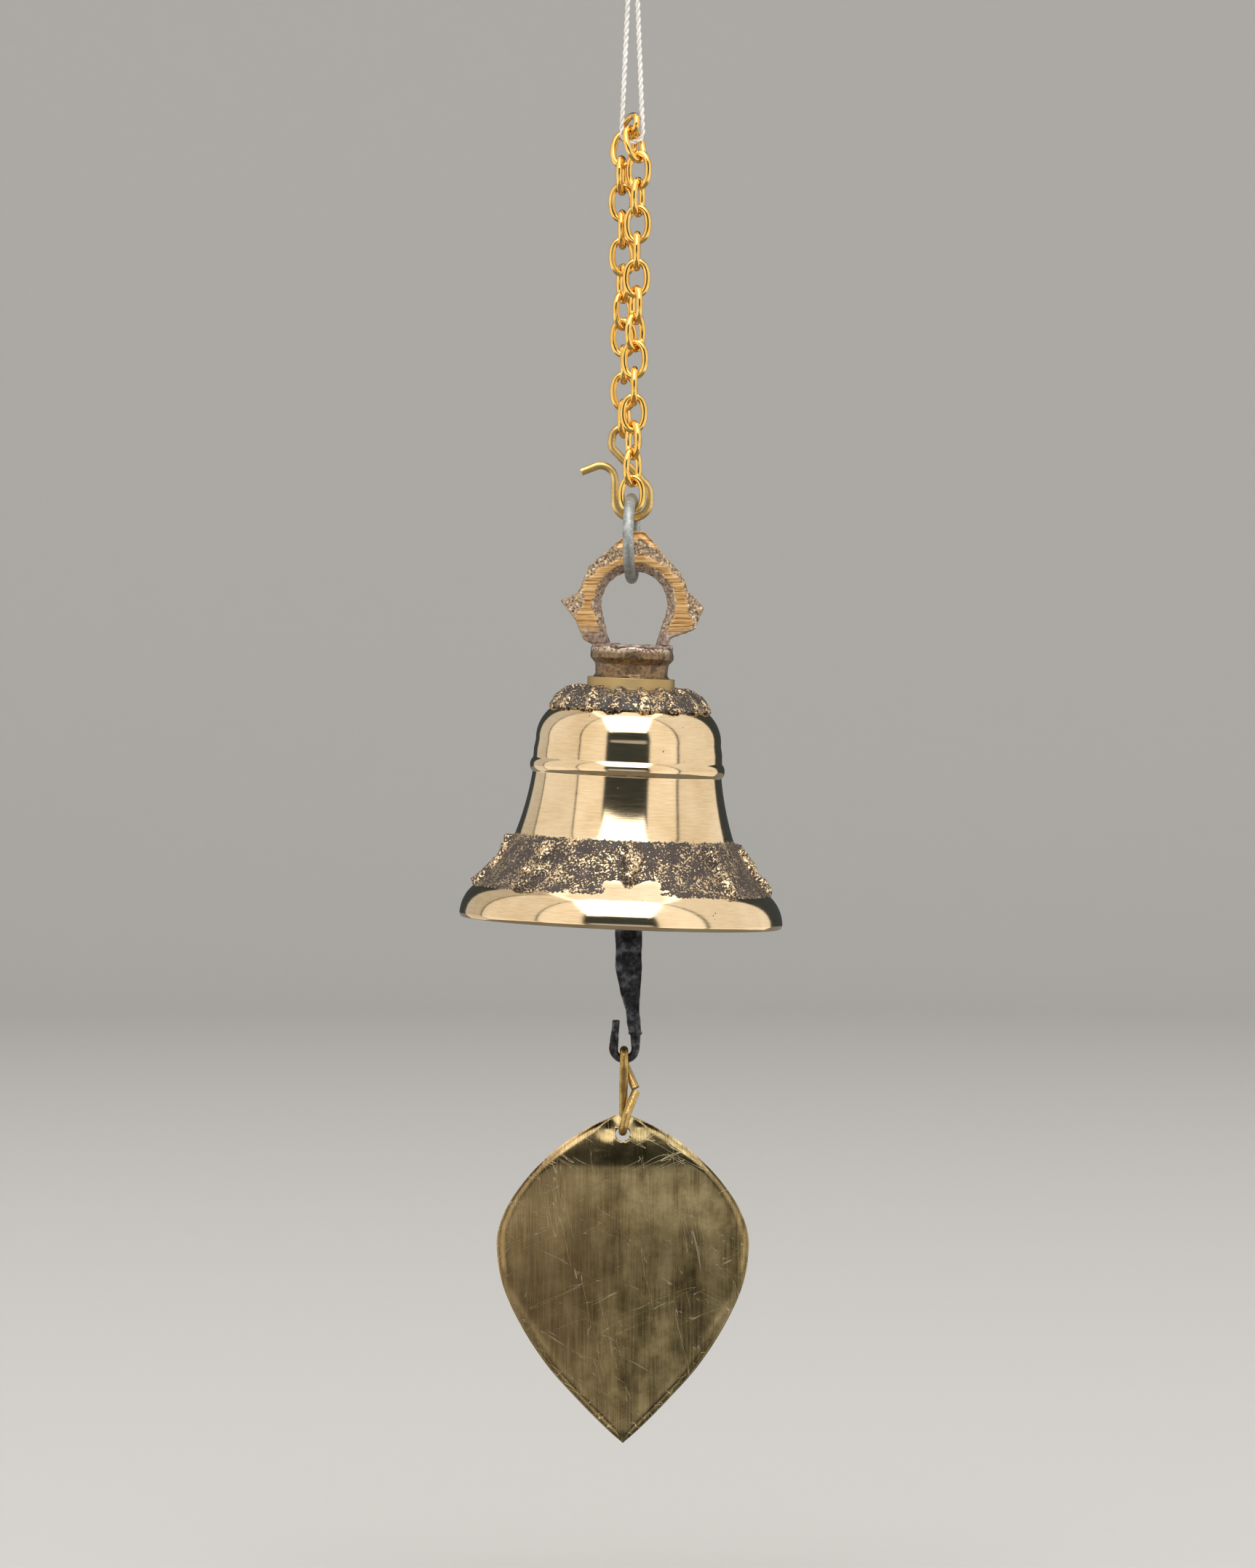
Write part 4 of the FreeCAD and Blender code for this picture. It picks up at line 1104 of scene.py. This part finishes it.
def filed_and_cast(place, normal):
    """Filed ring on the two faces, rough casting elsewhere, faceted bright top."""
    own = (place - crown_foot) / MM
    x, z = own.dot(side_axis), own.dot(up_axis)
    y = own.y
    ring = math.hypot(x, z - HOLE_HEIGHT)
    jitter = fractal(place, 0.55) * 0.55
    outer_limit = 7.9 - 0.7 * step(z, 9.0, 13.5) + 1.7 * step(-z, -5.6, -3.6)
    face = step(abs(normal.y), 0.75, 0.93)
    filed = face * step(ring + jitter, 6.15, 6.45) * (
        1 - step(ring + jitter, outer_limit, outer_limit + 0.35)
    )
    above = z - (16.5 - 0.55 * abs(x - 0.4)) + 0.3 * jitter
    top = step(above, -0.15, 0.15) * step(x, -3.2, -2.8) * (1 - step(x, 4.2, 4.6))
    bright = max(filed, top)
    cast = fractal(place, 1.15, 4) * 0.2 + fractal(place, 3.2, 2) * 0.06 - 0.1
    file_marks = 0.012 * math.sin(z * 17 + 2 * fractal(place, 0.3))
    move = bright * file_marks + (1 - bright) * cast
    stain = max(1 - step(z + jitter, 1.0, 3.8), 0.55 * (1 - step(ring + jitter, 5.7, 6.3)))
    move -= 0.45 * face * max(above, 0.0) * top
    return move * MM, bright, stain


# one material for all of the brazed top: bright filed metal, cast crust and heat stains by mask
def attribute(tree, name):
    """A mask that was stored on the mesh."""
    return add(tree, "ShaderNodeAttribute", attribute_name=name).outputs["Fac"]


crown_brass, tree, shader = finish_of("filed_crown_brass")
spot = vector_of(tree, "SCALE", add(tree, "ShaderNodeTexCoord").outputs["Object"], 1000.0)
bright, stain = attribute(tree, "bright"), attribute(tree, "stain")
level_way = add(tree, "ShaderNodeMapping", {"Vector": spot, "Scale": (0.16, 0.16, 4.4)})
strokes = noise_of(tree, level_way.outputs[0], 1.0, 5.0, 0.7)
crust = noise_of(tree, spot, 3.2, 4.0, 0.65)
dirt = noise_of(tree, spot, 0.9, 4.0)
filed = colours(
    tree,
    strokes.outputs["Fac"],
    (0.36, (0.27, 0.12, 0.035)),
    (0.47, (0.68, 0.39, 0.15)),
    (0.6, (0.93, 0.63, 0.31)),
)
cast = colours(
    tree,
    crust.outputs["Fac"],
    (0.33, (0.05, 0.032, 0.024)),
    (0.45, (0.28, 0.19, 0.12)),
    (0.56, (0.62, 0.47, 0.3)),
    (0.68, (0.9, 0.74, 0.52)),
)
cast = blend_of(tree, window(tree, dirt.outputs["Fac"], 0.5, 0.75), cast, (0.2, 0.15, 0.13))
burnt = colours(
    tree,
    noise_of(tree, spot, 1.4, 4.0).outputs["Fac"],
    (0.3, (0.07, 0.04, 0.045)),
    (0.44, (0.2, 0.15, 0.15)),
    (0.55, (0.34, 0.25, 0.19)),
    (0.66, (0.5, 0.46, 0.47)),
)
skin = blend_of(tree, bright, cast, filed)
tree.links.new(blend_of(tree, times(tree, stain, 0.85), skin, burnt), shader.inputs["Base Color"])
metal = sum_of(tree, "MULTIPLY_ADD", bright, 0.35, 0.62)
tree.links.new(less(tree, metal, times(tree, stain, 0.3)), shader.inputs["Metallic"])
gloss = less(tree, 0.58, times(tree, bright, 0.1))
tree.links.new(gloss, shader.inputs["Roughness"])
tooth = plus(
    tree,
    times(tree, bright, times(tree, strokes.outputs["Fac"], 0.7)),
    times(tree, less(tree, 1.0, bright), crust.outputs["Fac"]),
)
bumped(tree, shader, tooth, 0.8, 0.12 * MM)

crown_piece = worked(
    dense_copy("crown_loop", "crown_casting", 0.17 * MM, crown_brass, soften=4),
    filed_and_cast,
    ("bright", "stain"),
)
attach(crown_piece, "bell")
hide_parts("crown_loop")

burnt_brass, tree, shader = finish_of("burnt_collar_brass")
axis = group(tree, own_axis)
spot = axis.outputs["Round"]
rings = add(
    tree,
    "ShaderNodeTexNoise",
    {
        "Vector": add(tree, "ShaderNodeMapping", {"Vector": spot, "Scale": (0.3, 0.3, 5.0)}).outputs[0],
        "Scale": 1.0,
        "Detail": 3.0,
    },
)
cloud = noise_of(tree, spot, 0.55, 5.0, 0.62)
spots = noise_of(tree, spot, 2.4, 3.0)
base = colours(
    tree,
    cloud.outputs["Fac"],
    (0.3, (0.04, 0.028, 0.022)),
    (0.42, (0.13, 0.085, 0.05)),
    (0.5, (0.27, 0.195, 0.1)),
    (0.58, (0.2, 0.095, 0.06)),
    (0.7, (0.24, 0.2, 0.2)),
)
base = blend_of(tree, window(tree, spots.outputs["Fac"], 0.56, 0.68), base, (0.12, 0.07, 0.07))
pale = times(
    tree, window(tree, axis.outputs["Height"], 41.9, 42.7), window(tree, spots.outputs["Fac"], 0.4, 0.55)
)
tree.links.new(blend_of(tree, pale, base, (0.62, 0.52, 0.42)), shader.inputs["Base Color"])
shader.inputs["Metallic"].default_value = 0.82
tree.links.new(sum_of(tree, "MULTIPLY_ADD", cloud.outputs["Fac"], 0.35, 0.2), shader.inputs["Roughness"])
rise = sum_of(tree, "MULTIPLY_ADD", rings.outputs["Fac"], 0.5, times(tree, cloud.outputs["Fac"], 0.8))
bumped(tree, shader, rise, 0.35, 0.12 * MM)


def heat_softened(place, normal):
    """The collar's top edge has slumped and the braze has run over it."""
    own = (place - mouth).dot(up_axis) / MM
    top = step(own, 41.7, 42.9)
    return ((fractal(place, 0.35, 2) * 0.32 * top + fractal(place, 1.3, 2) * 0.035) * MM,)


collar_piece = worked(dense_copy("crown_collar", "burnt_collar", 0.16 * MM, burnt_brass), heat_softened)
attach(collar_piece, "bell")
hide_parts("crown_collar")


def run_braze(place, normal):
    """Braze that flowed and froze in soft lumps."""
    return (fractal(place, 0.5, 3) * 0.3 + 0.08) * MM, 0.0, 1.0


braze_piece = worked(
    dense_copy("braze_bed", "run_braze", 0.12 * MM, crown_brass), run_braze, ("bright", "stain")
)
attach(braze_piece, "bell")
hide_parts("braze_bed")


# ---------------------------------------------------------------- staple and clapper
# Black forged iron: a staple through the bell's crown, and a flat strip with an eye rolled round it, drawn
# down to a round hook. Hammer marks and blue-grey scale.
forged, tree, shader = finish_of("forged_iron", Metallic=0.85)
spot = vector_of(tree, "SCALE", add(tree, "ShaderNodeTexCoord").outputs["Object"], 1000.0)
hammer = noise_of(tree, spot, 0.55, 3.0)
scale = noise_of(tree, spot, 0.9, 5.0, 0.6)
tree.links.new(
    colours(
        tree,
        scale.outputs["Fac"],
        (0.35, (0.015, 0.014, 0.015)),
        (0.52, (0.05, 0.05, 0.056)),
        (0.66, (0.15, 0.155, 0.175)),
    ),
    shader.inputs["Base Color"],
)
tree.links.new(
    colours(tree, scale.outputs["Fac"], (0.35, (0.6,) * 3), (0.65, (0.36,) * 3)), shader.inputs["Roughness"]
)
rise = sum_of(tree, "MULTIPLY_ADD", scale.outputs["Fac"], 0.5, hammer.outputs["Fac"])
bumped(tree, shader, rise, 0.6, 0.15 * MM)


link_low, link_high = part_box("leaf_link")
hook_middle = (link_low.x + link_high.x) / 2 / MM


def hammered(place, normal):
    """Flats from the hammer along the strip, which is drawn down smoothly into the round hook."""
    down = -place.z / MM
    shank = step(place.x / MM, hook_middle - 0.3, hook_middle + 0.1)
    narrowed = -0.15 * shank * step(down, 164.8, 166.9) * (1 - step(down, 167.2, 167.5)) * abs(normal.x)
    fuller = 0.07 * step(down, 166.0, 168.5)
    drawn = 0.16 * shank * step(down, 167.1, 167.5) * (1 - step(down, 168.4, 171.0))
    return ((fractal(place, 0.28, 3) * 0.14 - 0.04 + narrowed + fuller + drawn) * MM,)


clapper_piece = worked(dense_copy("clapper", "forged_clapper", 0.15 * MM, forged, soften=6), hammered)
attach(clapper_piece, "clapper")
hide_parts("clapper")
staple_piece = own_copy("clapper_staple", "forged_staple", forged)
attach(staple_piece, "bell")
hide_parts("clapper_staple")


# ---------------------------------------------------------------- link to the leaf
# A short length of the same soft brass wire, closed by hand round the clapper's hook and the leaf.
link_brass = wire_brass(
    "dull_link_brass", ((0.3, 0.18, 0.05), (0.5, 0.33, 0.11), (0.7, 0.5, 0.22)), 0.46, 0.28, 0.45
)
link_x, link_z = link_low.x / MM + 0.65 + 0.2, link_low.z / MM + 0.65
KINK = (1.75, 0.05, 6.7)
link_path = [
    KINK,
    (0.1, 1.435, 10.3),
    (0, 1.435, 12.6),
    (0, -1.435, 12.6),
    (0, -1.435, 10.3),
    (-0.1, 0.1, 6.3),
    (-0.1, 1.35, 2.0),
    (-0.2, 1.45, 0),
    (-0.2, -1.45, 0),
    (0.35, -1.4, 2.7),
    (1.82, 0.05, 6.2),
]
link_piece = grow(
    bent_wire,
    "hand_closed_link",
    bent_route(
        "link_route", link_path, [0, 1.2, 1.15, 1.15, 2.2, 2.0, 1.3, 1.1, 1.1, 1.6, 0], (link_x, 0, link_z)
    ),
    Thickness=1.3 * MM,
    Unevenness=0.06,
    Sides=26,
    Material=link_brass,
)
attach(link_piece, "leaf_link")
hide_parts("leaf_link")


# ---------------------------------------------------------------- leaf
# Thin sheet brass sheared to a leaf: slightly dished at its rim, creased down the middle, dimpled where
# the hole was punched, brushed upright and scratched in use.
LEAF_WIDE = 39.0
LEAF_TALL = 51.2
LEAF_THICK = 0.4
SHEET_TALL = LEAF_TALL - 0.03
leaf_low, leaf_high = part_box("leaf")
leaf_x = (leaf_low.x + leaf_high.x) / 2 / MM
leaf_top = leaf_high.z / MM
HALF_WIDTHS = [
    (0.0, 0.0),
    (0.044, 0.13),
    (0.103, 0.25),
    (0.18, 0.36),
    (0.266, 0.445),
    (0.345, 0.49),
    (0.405, 0.4995),
    (0.515, 0.478),
    (0.632, 0.412),
    (0.765, 0.3),
    (0.88, 0.165),
    (0.96, 0.06),
    (1.0, 0.0),
]


def half_width(share):
    """Half of the leaf's width as a share of its full width, by a smooth line through the cut outline."""
    xs, ys = zip(*HALF_WIDTHS)
    n = max(i for i in range(len(xs) - 1) if xs[i] <= share + 1e-9)

    def slope(i):
        if i == 0:
            return (ys[1] - ys[0]) / (xs[1] - xs[0]) * 1.05
        if i == len(xs) - 1:
            return (ys[-1] - ys[-2]) / (xs[-1] - xs[-2])
        return (ys[i + 1] - ys[i - 1]) / (xs[i + 1] - xs[i - 1])

    span = xs[n + 1] - xs[n]
    t = (share - xs[n]) / span
    a, b = slope(n) * span, slope(n + 1) * span
    return (
        (2 * t**3 - 3 * t**2 + 1) * ys[n] + (t**3 - 2 * t**2 + t) * a + (
            3 * t**2 - 2 * t**3
        ) * ys[n + 1] + (t**3 - t**2) * b
    )


HOLE_DOWN = 3.3
HOLE_RADIUS = 1.15
ROWS, COLUMNS = 150, 96
grid = bmesh.new()
rows = []
for i in range(ROWS + 1):
    share = 0.5 - 0.5 * math.cos(math.pi * i / ROWS)
    share = 0.5 * share + 0.5 * i / ROWS
    half = max(half_width(min(share, 1.0)), 0.0) * LEAF_WIDE
    row_points = []
    for j in range(COLUMNS + 1):
        u = 2 * j / COLUMNS - 1
        u = math.copysign(abs(u) ** 0.85, u)
        x, down = u * half, share * SHEET_TALL
        rim = min(half * (1 - abs(u)), 9.0) if half > 0 else 0.0
        rim = min(rim, down * 0.7, (LEAF_TALL - down) * 0.6)
        dish = 0.34 * math.exp(-((rim / 1.1) ** 2))
        bow = 0.55 * (x / 19.5) ** 2 - 0.34 * math.exp(-((x / 0.55) ** 2)) * step(down, 11, 15) * (
            1 - step(down, 38, 44)
        )
        dimple = -0.42 * (
            math.exp(-(((x - 2.6) ** 2 + (down - 2.4) ** 2) / 1.5)) + math.exp(
                -(((x + 2.3) ** 2 + (down - 2.6) ** 2) / 1.4)
            )
        )
        top_bend = 2.2 * (1 - step(down, -3.0, 9.5)) - 0.99 + 0.9 * step(down, 12, 42)
        wobble = 0.1 * noise.noise(Vector((x * 0.11, down * 0.09, 3.0)))
        rolled = 1 - 2 * step(down, 22, 34)
        y = dish * rolled - dimple * 0.8 + bow * 0.5 + top_bend + wobble
        row_points.append(grid.verts.new(Vector((leaf_x + x, y, leaf_top - down)) * MM))
    rows.append(row_points)
for upper, lower in zip(rows, rows[1:]):
    for j in range(COLUMNS):
        grid.faces.new((upper[j], lower[j], lower[j + 1], upper[j + 1]))
bmesh.ops.remove_doubles(grid, verts=grid.verts, dist=0.002 * MM)
# the punched hole: the sheet's own lines drawn to its rim, a little ragged
hole = Vector((leaf_x, 0, leaf_top - HOLE_DOWN)) * MM
gone = [
    f
    for f in grid.faces if math.hypot(
        f.calc_center_median().x - hole.x, f.calc_center_median().z - hole.z
    ) < HOLE_RADIUS * MM
]
bmesh.ops.delete(grid, geom=gone, context="FACES")
for vertex in grid.verts:
    offset = Vector((vertex.co.x - hole.x, vertex.co.z - hole.z))
    if vertex.is_boundary and offset.length < 1.8 * HOLE_RADIUS * MM:
        turn = math.atan2(offset.y, offset.x)
        ragged = HOLE_RADIUS * (1 + 0.05 * math.sin(5 * turn) + 0.03 * math.sin(11 * turn + 1))
        vertex.co.x = hole.x + math.cos(turn) * ragged * MM
        vertex.co.z = hole.z + math.sin(turn) * ragged * MM
sheet_mesh = bpy.data.meshes.new("leaf_sheet")
grid.to_mesh(sheet_mesh)
grid.free()

leaf_brass, tree, shader = finish_of("scratched_sheet_brass", Metallic=1.0)
spot = vector_of(tree, "SCALE", add(tree, "ShaderNodeTexCoord").outputs["Object"], 1000.0)
centred = vector_of(tree, "SUBTRACT", spot, (leaf_x, 0.0, leaf_top - 25.0))
brush_way = add(
    tree, "ShaderNodeMapping", {"Vector": centred, "Scale": (5.5, 1.0, 0.12), "Rotation": (0, 0.02, 0)}
)
brushed = noise_of(tree, brush_way.outputs[0], 1.0, 5.0, 0.7)
side_way = add(
    tree, "ShaderNodeMapping", {"Vector": centred, "Scale": (0.5, 1.0, 1.6), "Rotation": (0, 1.1, 0)}
)
rubbed = noise_of(tree, side_way.outputs[0], 1.0, 4.0, 0.7)
haze = noise_of(tree, centred, 0.085, 5.0, 0.6)
painted_shade_mottle = noise_of(tree, centred, 0.23, 6.0, 0.65)
bands = add(
    tree,
    "ShaderNodeTexNoise",
    {
        "Vector": add(tree, "ShaderNodeMapping", {"Vector": centred, "Scale": (0.2, 1.0, 0.035)}).outputs[0],
        "Scale": 1.0,
        "Detail": 3.0,
    },
)
where = add(tree, "ShaderNodeSeparateXYZ", {"Vector": centred})
# painted reflection: the left side of the leaf is blended towards a lighter, warm brown, standing in for warm
# light that the sheet reflects there
painted_warm_reflection = window(tree, times(tree, where.outputs["X"], -1.0), -5.0, 12.0)
# painted shade: the leaf's base colour is a mottled, very dark brown, standing in for the dark surroundings
# that the flat sheet reflects
base = colours(
    tree,
    sum_of(tree, "MULTIPLY_ADD", painted_shade_mottle.outputs["Fac"], 0.5, times(tree, bands.outputs["Fac"], 0.5)),
    (0.4, (0.045, 0.032, 0.01)),
    (0.48, (0.14, 0.1, 0.035)),
    (0.54, (0.25, 0.185, 0.078)),
    (0.62, (0.4, 0.31, 0.15)),
)
base = blend_of(
    tree,
    times(tree, painted_warm_reflection, 0.5),
    base,
    blend_of(tree, bands.outputs["Fac"], (0.24, 0.14, 0.055), (0.42, 0.27, 0.12)),
)


def scratches(tree, vector, turn, scale, stretch, thin, seed):
    """Thin, long, broken scratches in one direction."""
    way = add(
        tree,
        "ShaderNodeMapping",
        {
            "Vector": vector,
            "Rotation": (0, turn, 0),
            "Scale": (scale, 1.0, scale / stretch),
            "Location": (seed, 0, seed),
        },
        vector_type="TEXTURE",
    )
    cells = noise_of(tree, way.outputs[0], 1.0, 1.0)
    line = sum_of(tree, "ABSOLUTE", less(tree, cells.outputs["Fac"], 0.5))
    broken = noise_of(tree, way.outputs[0], 0.6, 0.0)
    return times(
        tree, less(tree, 1.0, window(tree, line, 0.0, thin)), window(tree, broken.outputs["Fac"], 0.59, 0.65)
    )


marks = sum_of(
    tree,
    "MAXIMUM",
    scratches(tree, centred, 1.35, 16.0, 18.0, 0.012, 3.0),
    scratches(tree, centred, -0.42, 13.0, 15.0, 0.012, 11.0),
)
marks = sum_of(tree, "MAXIMUM", marks, scratches(tree, centred, 0.5, 11.0, 14.0, 0.012, 23.0))
streak = window(tree, brushed.outputs["Fac"], 0.3, 0.72)
base = blend_of(tree, times(tree, streak, 0.3), base, (0.7, 0.56, 0.33))
tree.links.new(blend_of(tree, times(tree, marks, 0.5), base, (0.9, 0.76, 0.5)), shader.inputs["Base Color"])
dull = sum_of(tree, "MULTIPLY_ADD", haze.outputs["Fac"], 0.24, 0.05)
dull = plus(tree, dull, times(tree, window(tree, rubbed.outputs["Fac"], 0.5, 0.75), 0.07))
dull = plus(tree, dull, times(tree, marks, 0.25))
tree.links.new(dull, shader.inputs["Roughness"])
rise = sum_of(tree, "MULTIPLY_ADD", brushed.outputs["Fac"], 0.6, times(tree, rubbed.outputs["Fac"], 0.05))
rise = less(tree, rise, times(tree, marks, 0.35))
bumped(tree, shader, rise, 0.35, 0.04 * MM)

leaf_maker = bpy.data.objects.new("leaf_maker", sheet_mesh)
bpy.context.collection.objects.link(leaf_maker)
sheet_mesh.materials.append(leaf_brass)
thick = leaf_maker.modifiers.new("thickness", "SOLIDIFY")
thick.thickness = LEAF_THICK * MM
thick.offset = 0.0
thick.use_even_offset = True
edges = leaf_maker.modifiers.new("sheared_edge", "BEVEL")
edges.width = 0.07 * MM
edges.segments = 2
edges.limit_method = "ANGLE"
edges.angle_limit = math.radians(50)
leaf_piece = flat_mesh(leaf_maker, "leaf_sheet_brass")
for face in leaf_piece.data.polygons:
    face.use_smooth = True
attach(leaf_piece, "leaf")
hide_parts("leaf")


# ---------------------------------------------------------------- floor, backdrop and light
# A pale floor that sweeps up into a round wall, tall soft panels at both sides with narrow joints
# between them, a top panel in front, and a low one that fills from below.
FLOOR = -0.262
SWEEP = [(0.0, 0.0), (1.6, 0.0)]
SWEEP += [(1.6 + 0.9 * math.sin(a), 0.9 - 0.9 * math.cos(a)) for a in np.linspace(0.06, math.pi / 2, 18)]
SWEEP += [(2.5, 3.6)]
cove = bmesh.new()
turns = 96
wheel = [
    [
        cove.verts.new(
            (r * math.cos(2 * math.pi * k / turns), r * math.sin(2 * math.pi * k / turns), FLOOR + h)
        )
        for r, h in SWEEP[1:]
    ]
    for k in range(turns)
]
hub = cove.verts.new((0, 0, FLOOR))
for k in range(turns):
    this, following = wheel[k], wheel[(k + 1) % turns]
    cove.faces.new((hub, this[0], following[0]))
    for n in range(len(this) - 1):
        cove.faces.new((this[n], this[n + 1], following[n + 1], following[n]))
cove_mesh = bpy.data.meshes.new("floor_and_wall")
cove.to_mesh(cove_mesh)
cove.free()
for face in cove_mesh.polygons:
    face.use_smooth = True
paper, tree, shader = finish_of("pale_paper", Roughness=0.95)
shader.inputs["Base Color"].default_value = (0.5, 0.5, 0.5, 1)
cove_mesh.materials.append(paper)
cove_object = bpy.data.objects.new("floor_and_wall", cove_mesh)
bpy.context.collection.objects.link(cove_object)
cove_object.visible_glossy = False

world = bpy.data.worlds.new("studio_air")
world.use_nodes = True
world.node_tree.nodes["Background"].inputs["Color"].default_value = (0.05, 0.06, 0.062, 1)
world.node_tree.nodes["Background"].inputs["Strength"].default_value = 1.0
bpy.context.scene.world = world
bpy.context.scene.view_settings.view_transform = "Standard"

BELL_MIDDLE = Vector((-0.001, 0, -0.13))


def panel(name, wide, tall, place, radiance, tint=(1.0, 0.94, 0.85), aim=BELL_MIDDLE):
    """A soft panel of that size whose face looks at the bell, with an even brightness."""
    light = bpy.data.lights.new(name, "AREA")
    light.shape = "RECTANGLE"
    light.size = wide
    light.size_y = tall
    light.energy = radiance * math.pi * wide * tall
    light.color = tint
    holder = bpy.data.objects.new(name, light)
    holder.location = place
    holder.rotation_euler = (Vector(place) - aim).to_track_quat("Z", "Y").to_euler()
    holder.visible_camera = False
    bpy.context.collection.objects.link(holder)
    return holder


# side panels: start and end of each, in degrees from the camera's side, and its brightness
PANELS = [
    ("left_near", -61, -27, 1.15),
    ("left_mid", -117, -63, 0.95),
    ("left_far", -146, -119, 0.6),
    ("right_near", 27, 63, 1.15),
    ("right_far", 66, 134, 0.95),
]
PANEL_AWAY, PANEL_TALL, PANEL_MIDDLE = 1.5, 5.0, 1.6
for name, first, last, level in PANELS:
    middle = math.radians((first + last) / 2)
    wide = 2 * PANEL_AWAY * math.tan(math.radians((last - first) / 2))
    spot = Vector((math.sin(middle), -math.cos(middle), 0)) * PANEL_AWAY + Vector((0, 0, PANEL_MIDDLE))
    panel(name, wide, PANEL_TALL, spot, level, aim=Vector((0, 0, PANEL_MIDDLE)))
panel("top_front", 1.32, 1.5, (0.0, -0.9, 1.14), 3.0, tint=(1, 1, 1), aim=Vector((0, 0, 0)))
panel("overhead", 1.5, 1.7, (0.0, 0.5, 1.62), 1.25, tint=(1, 0.97, 0.92), aim=Vector((0, 0.5, 0)))
panel("floor_glow", 2.6, 2.6, (0.0, 0.0, FLOOR + 0.004), 0.2, tint=(1, 0.9, 0.78), aim=Vector((0, 0.001, 5)))
panel("front_low", 0.9, 0.35, (0.0, -1.1, -0.22), 0.5, tint=(1, 1, 1), aim=Vector((0, -0.2, -0.1)))
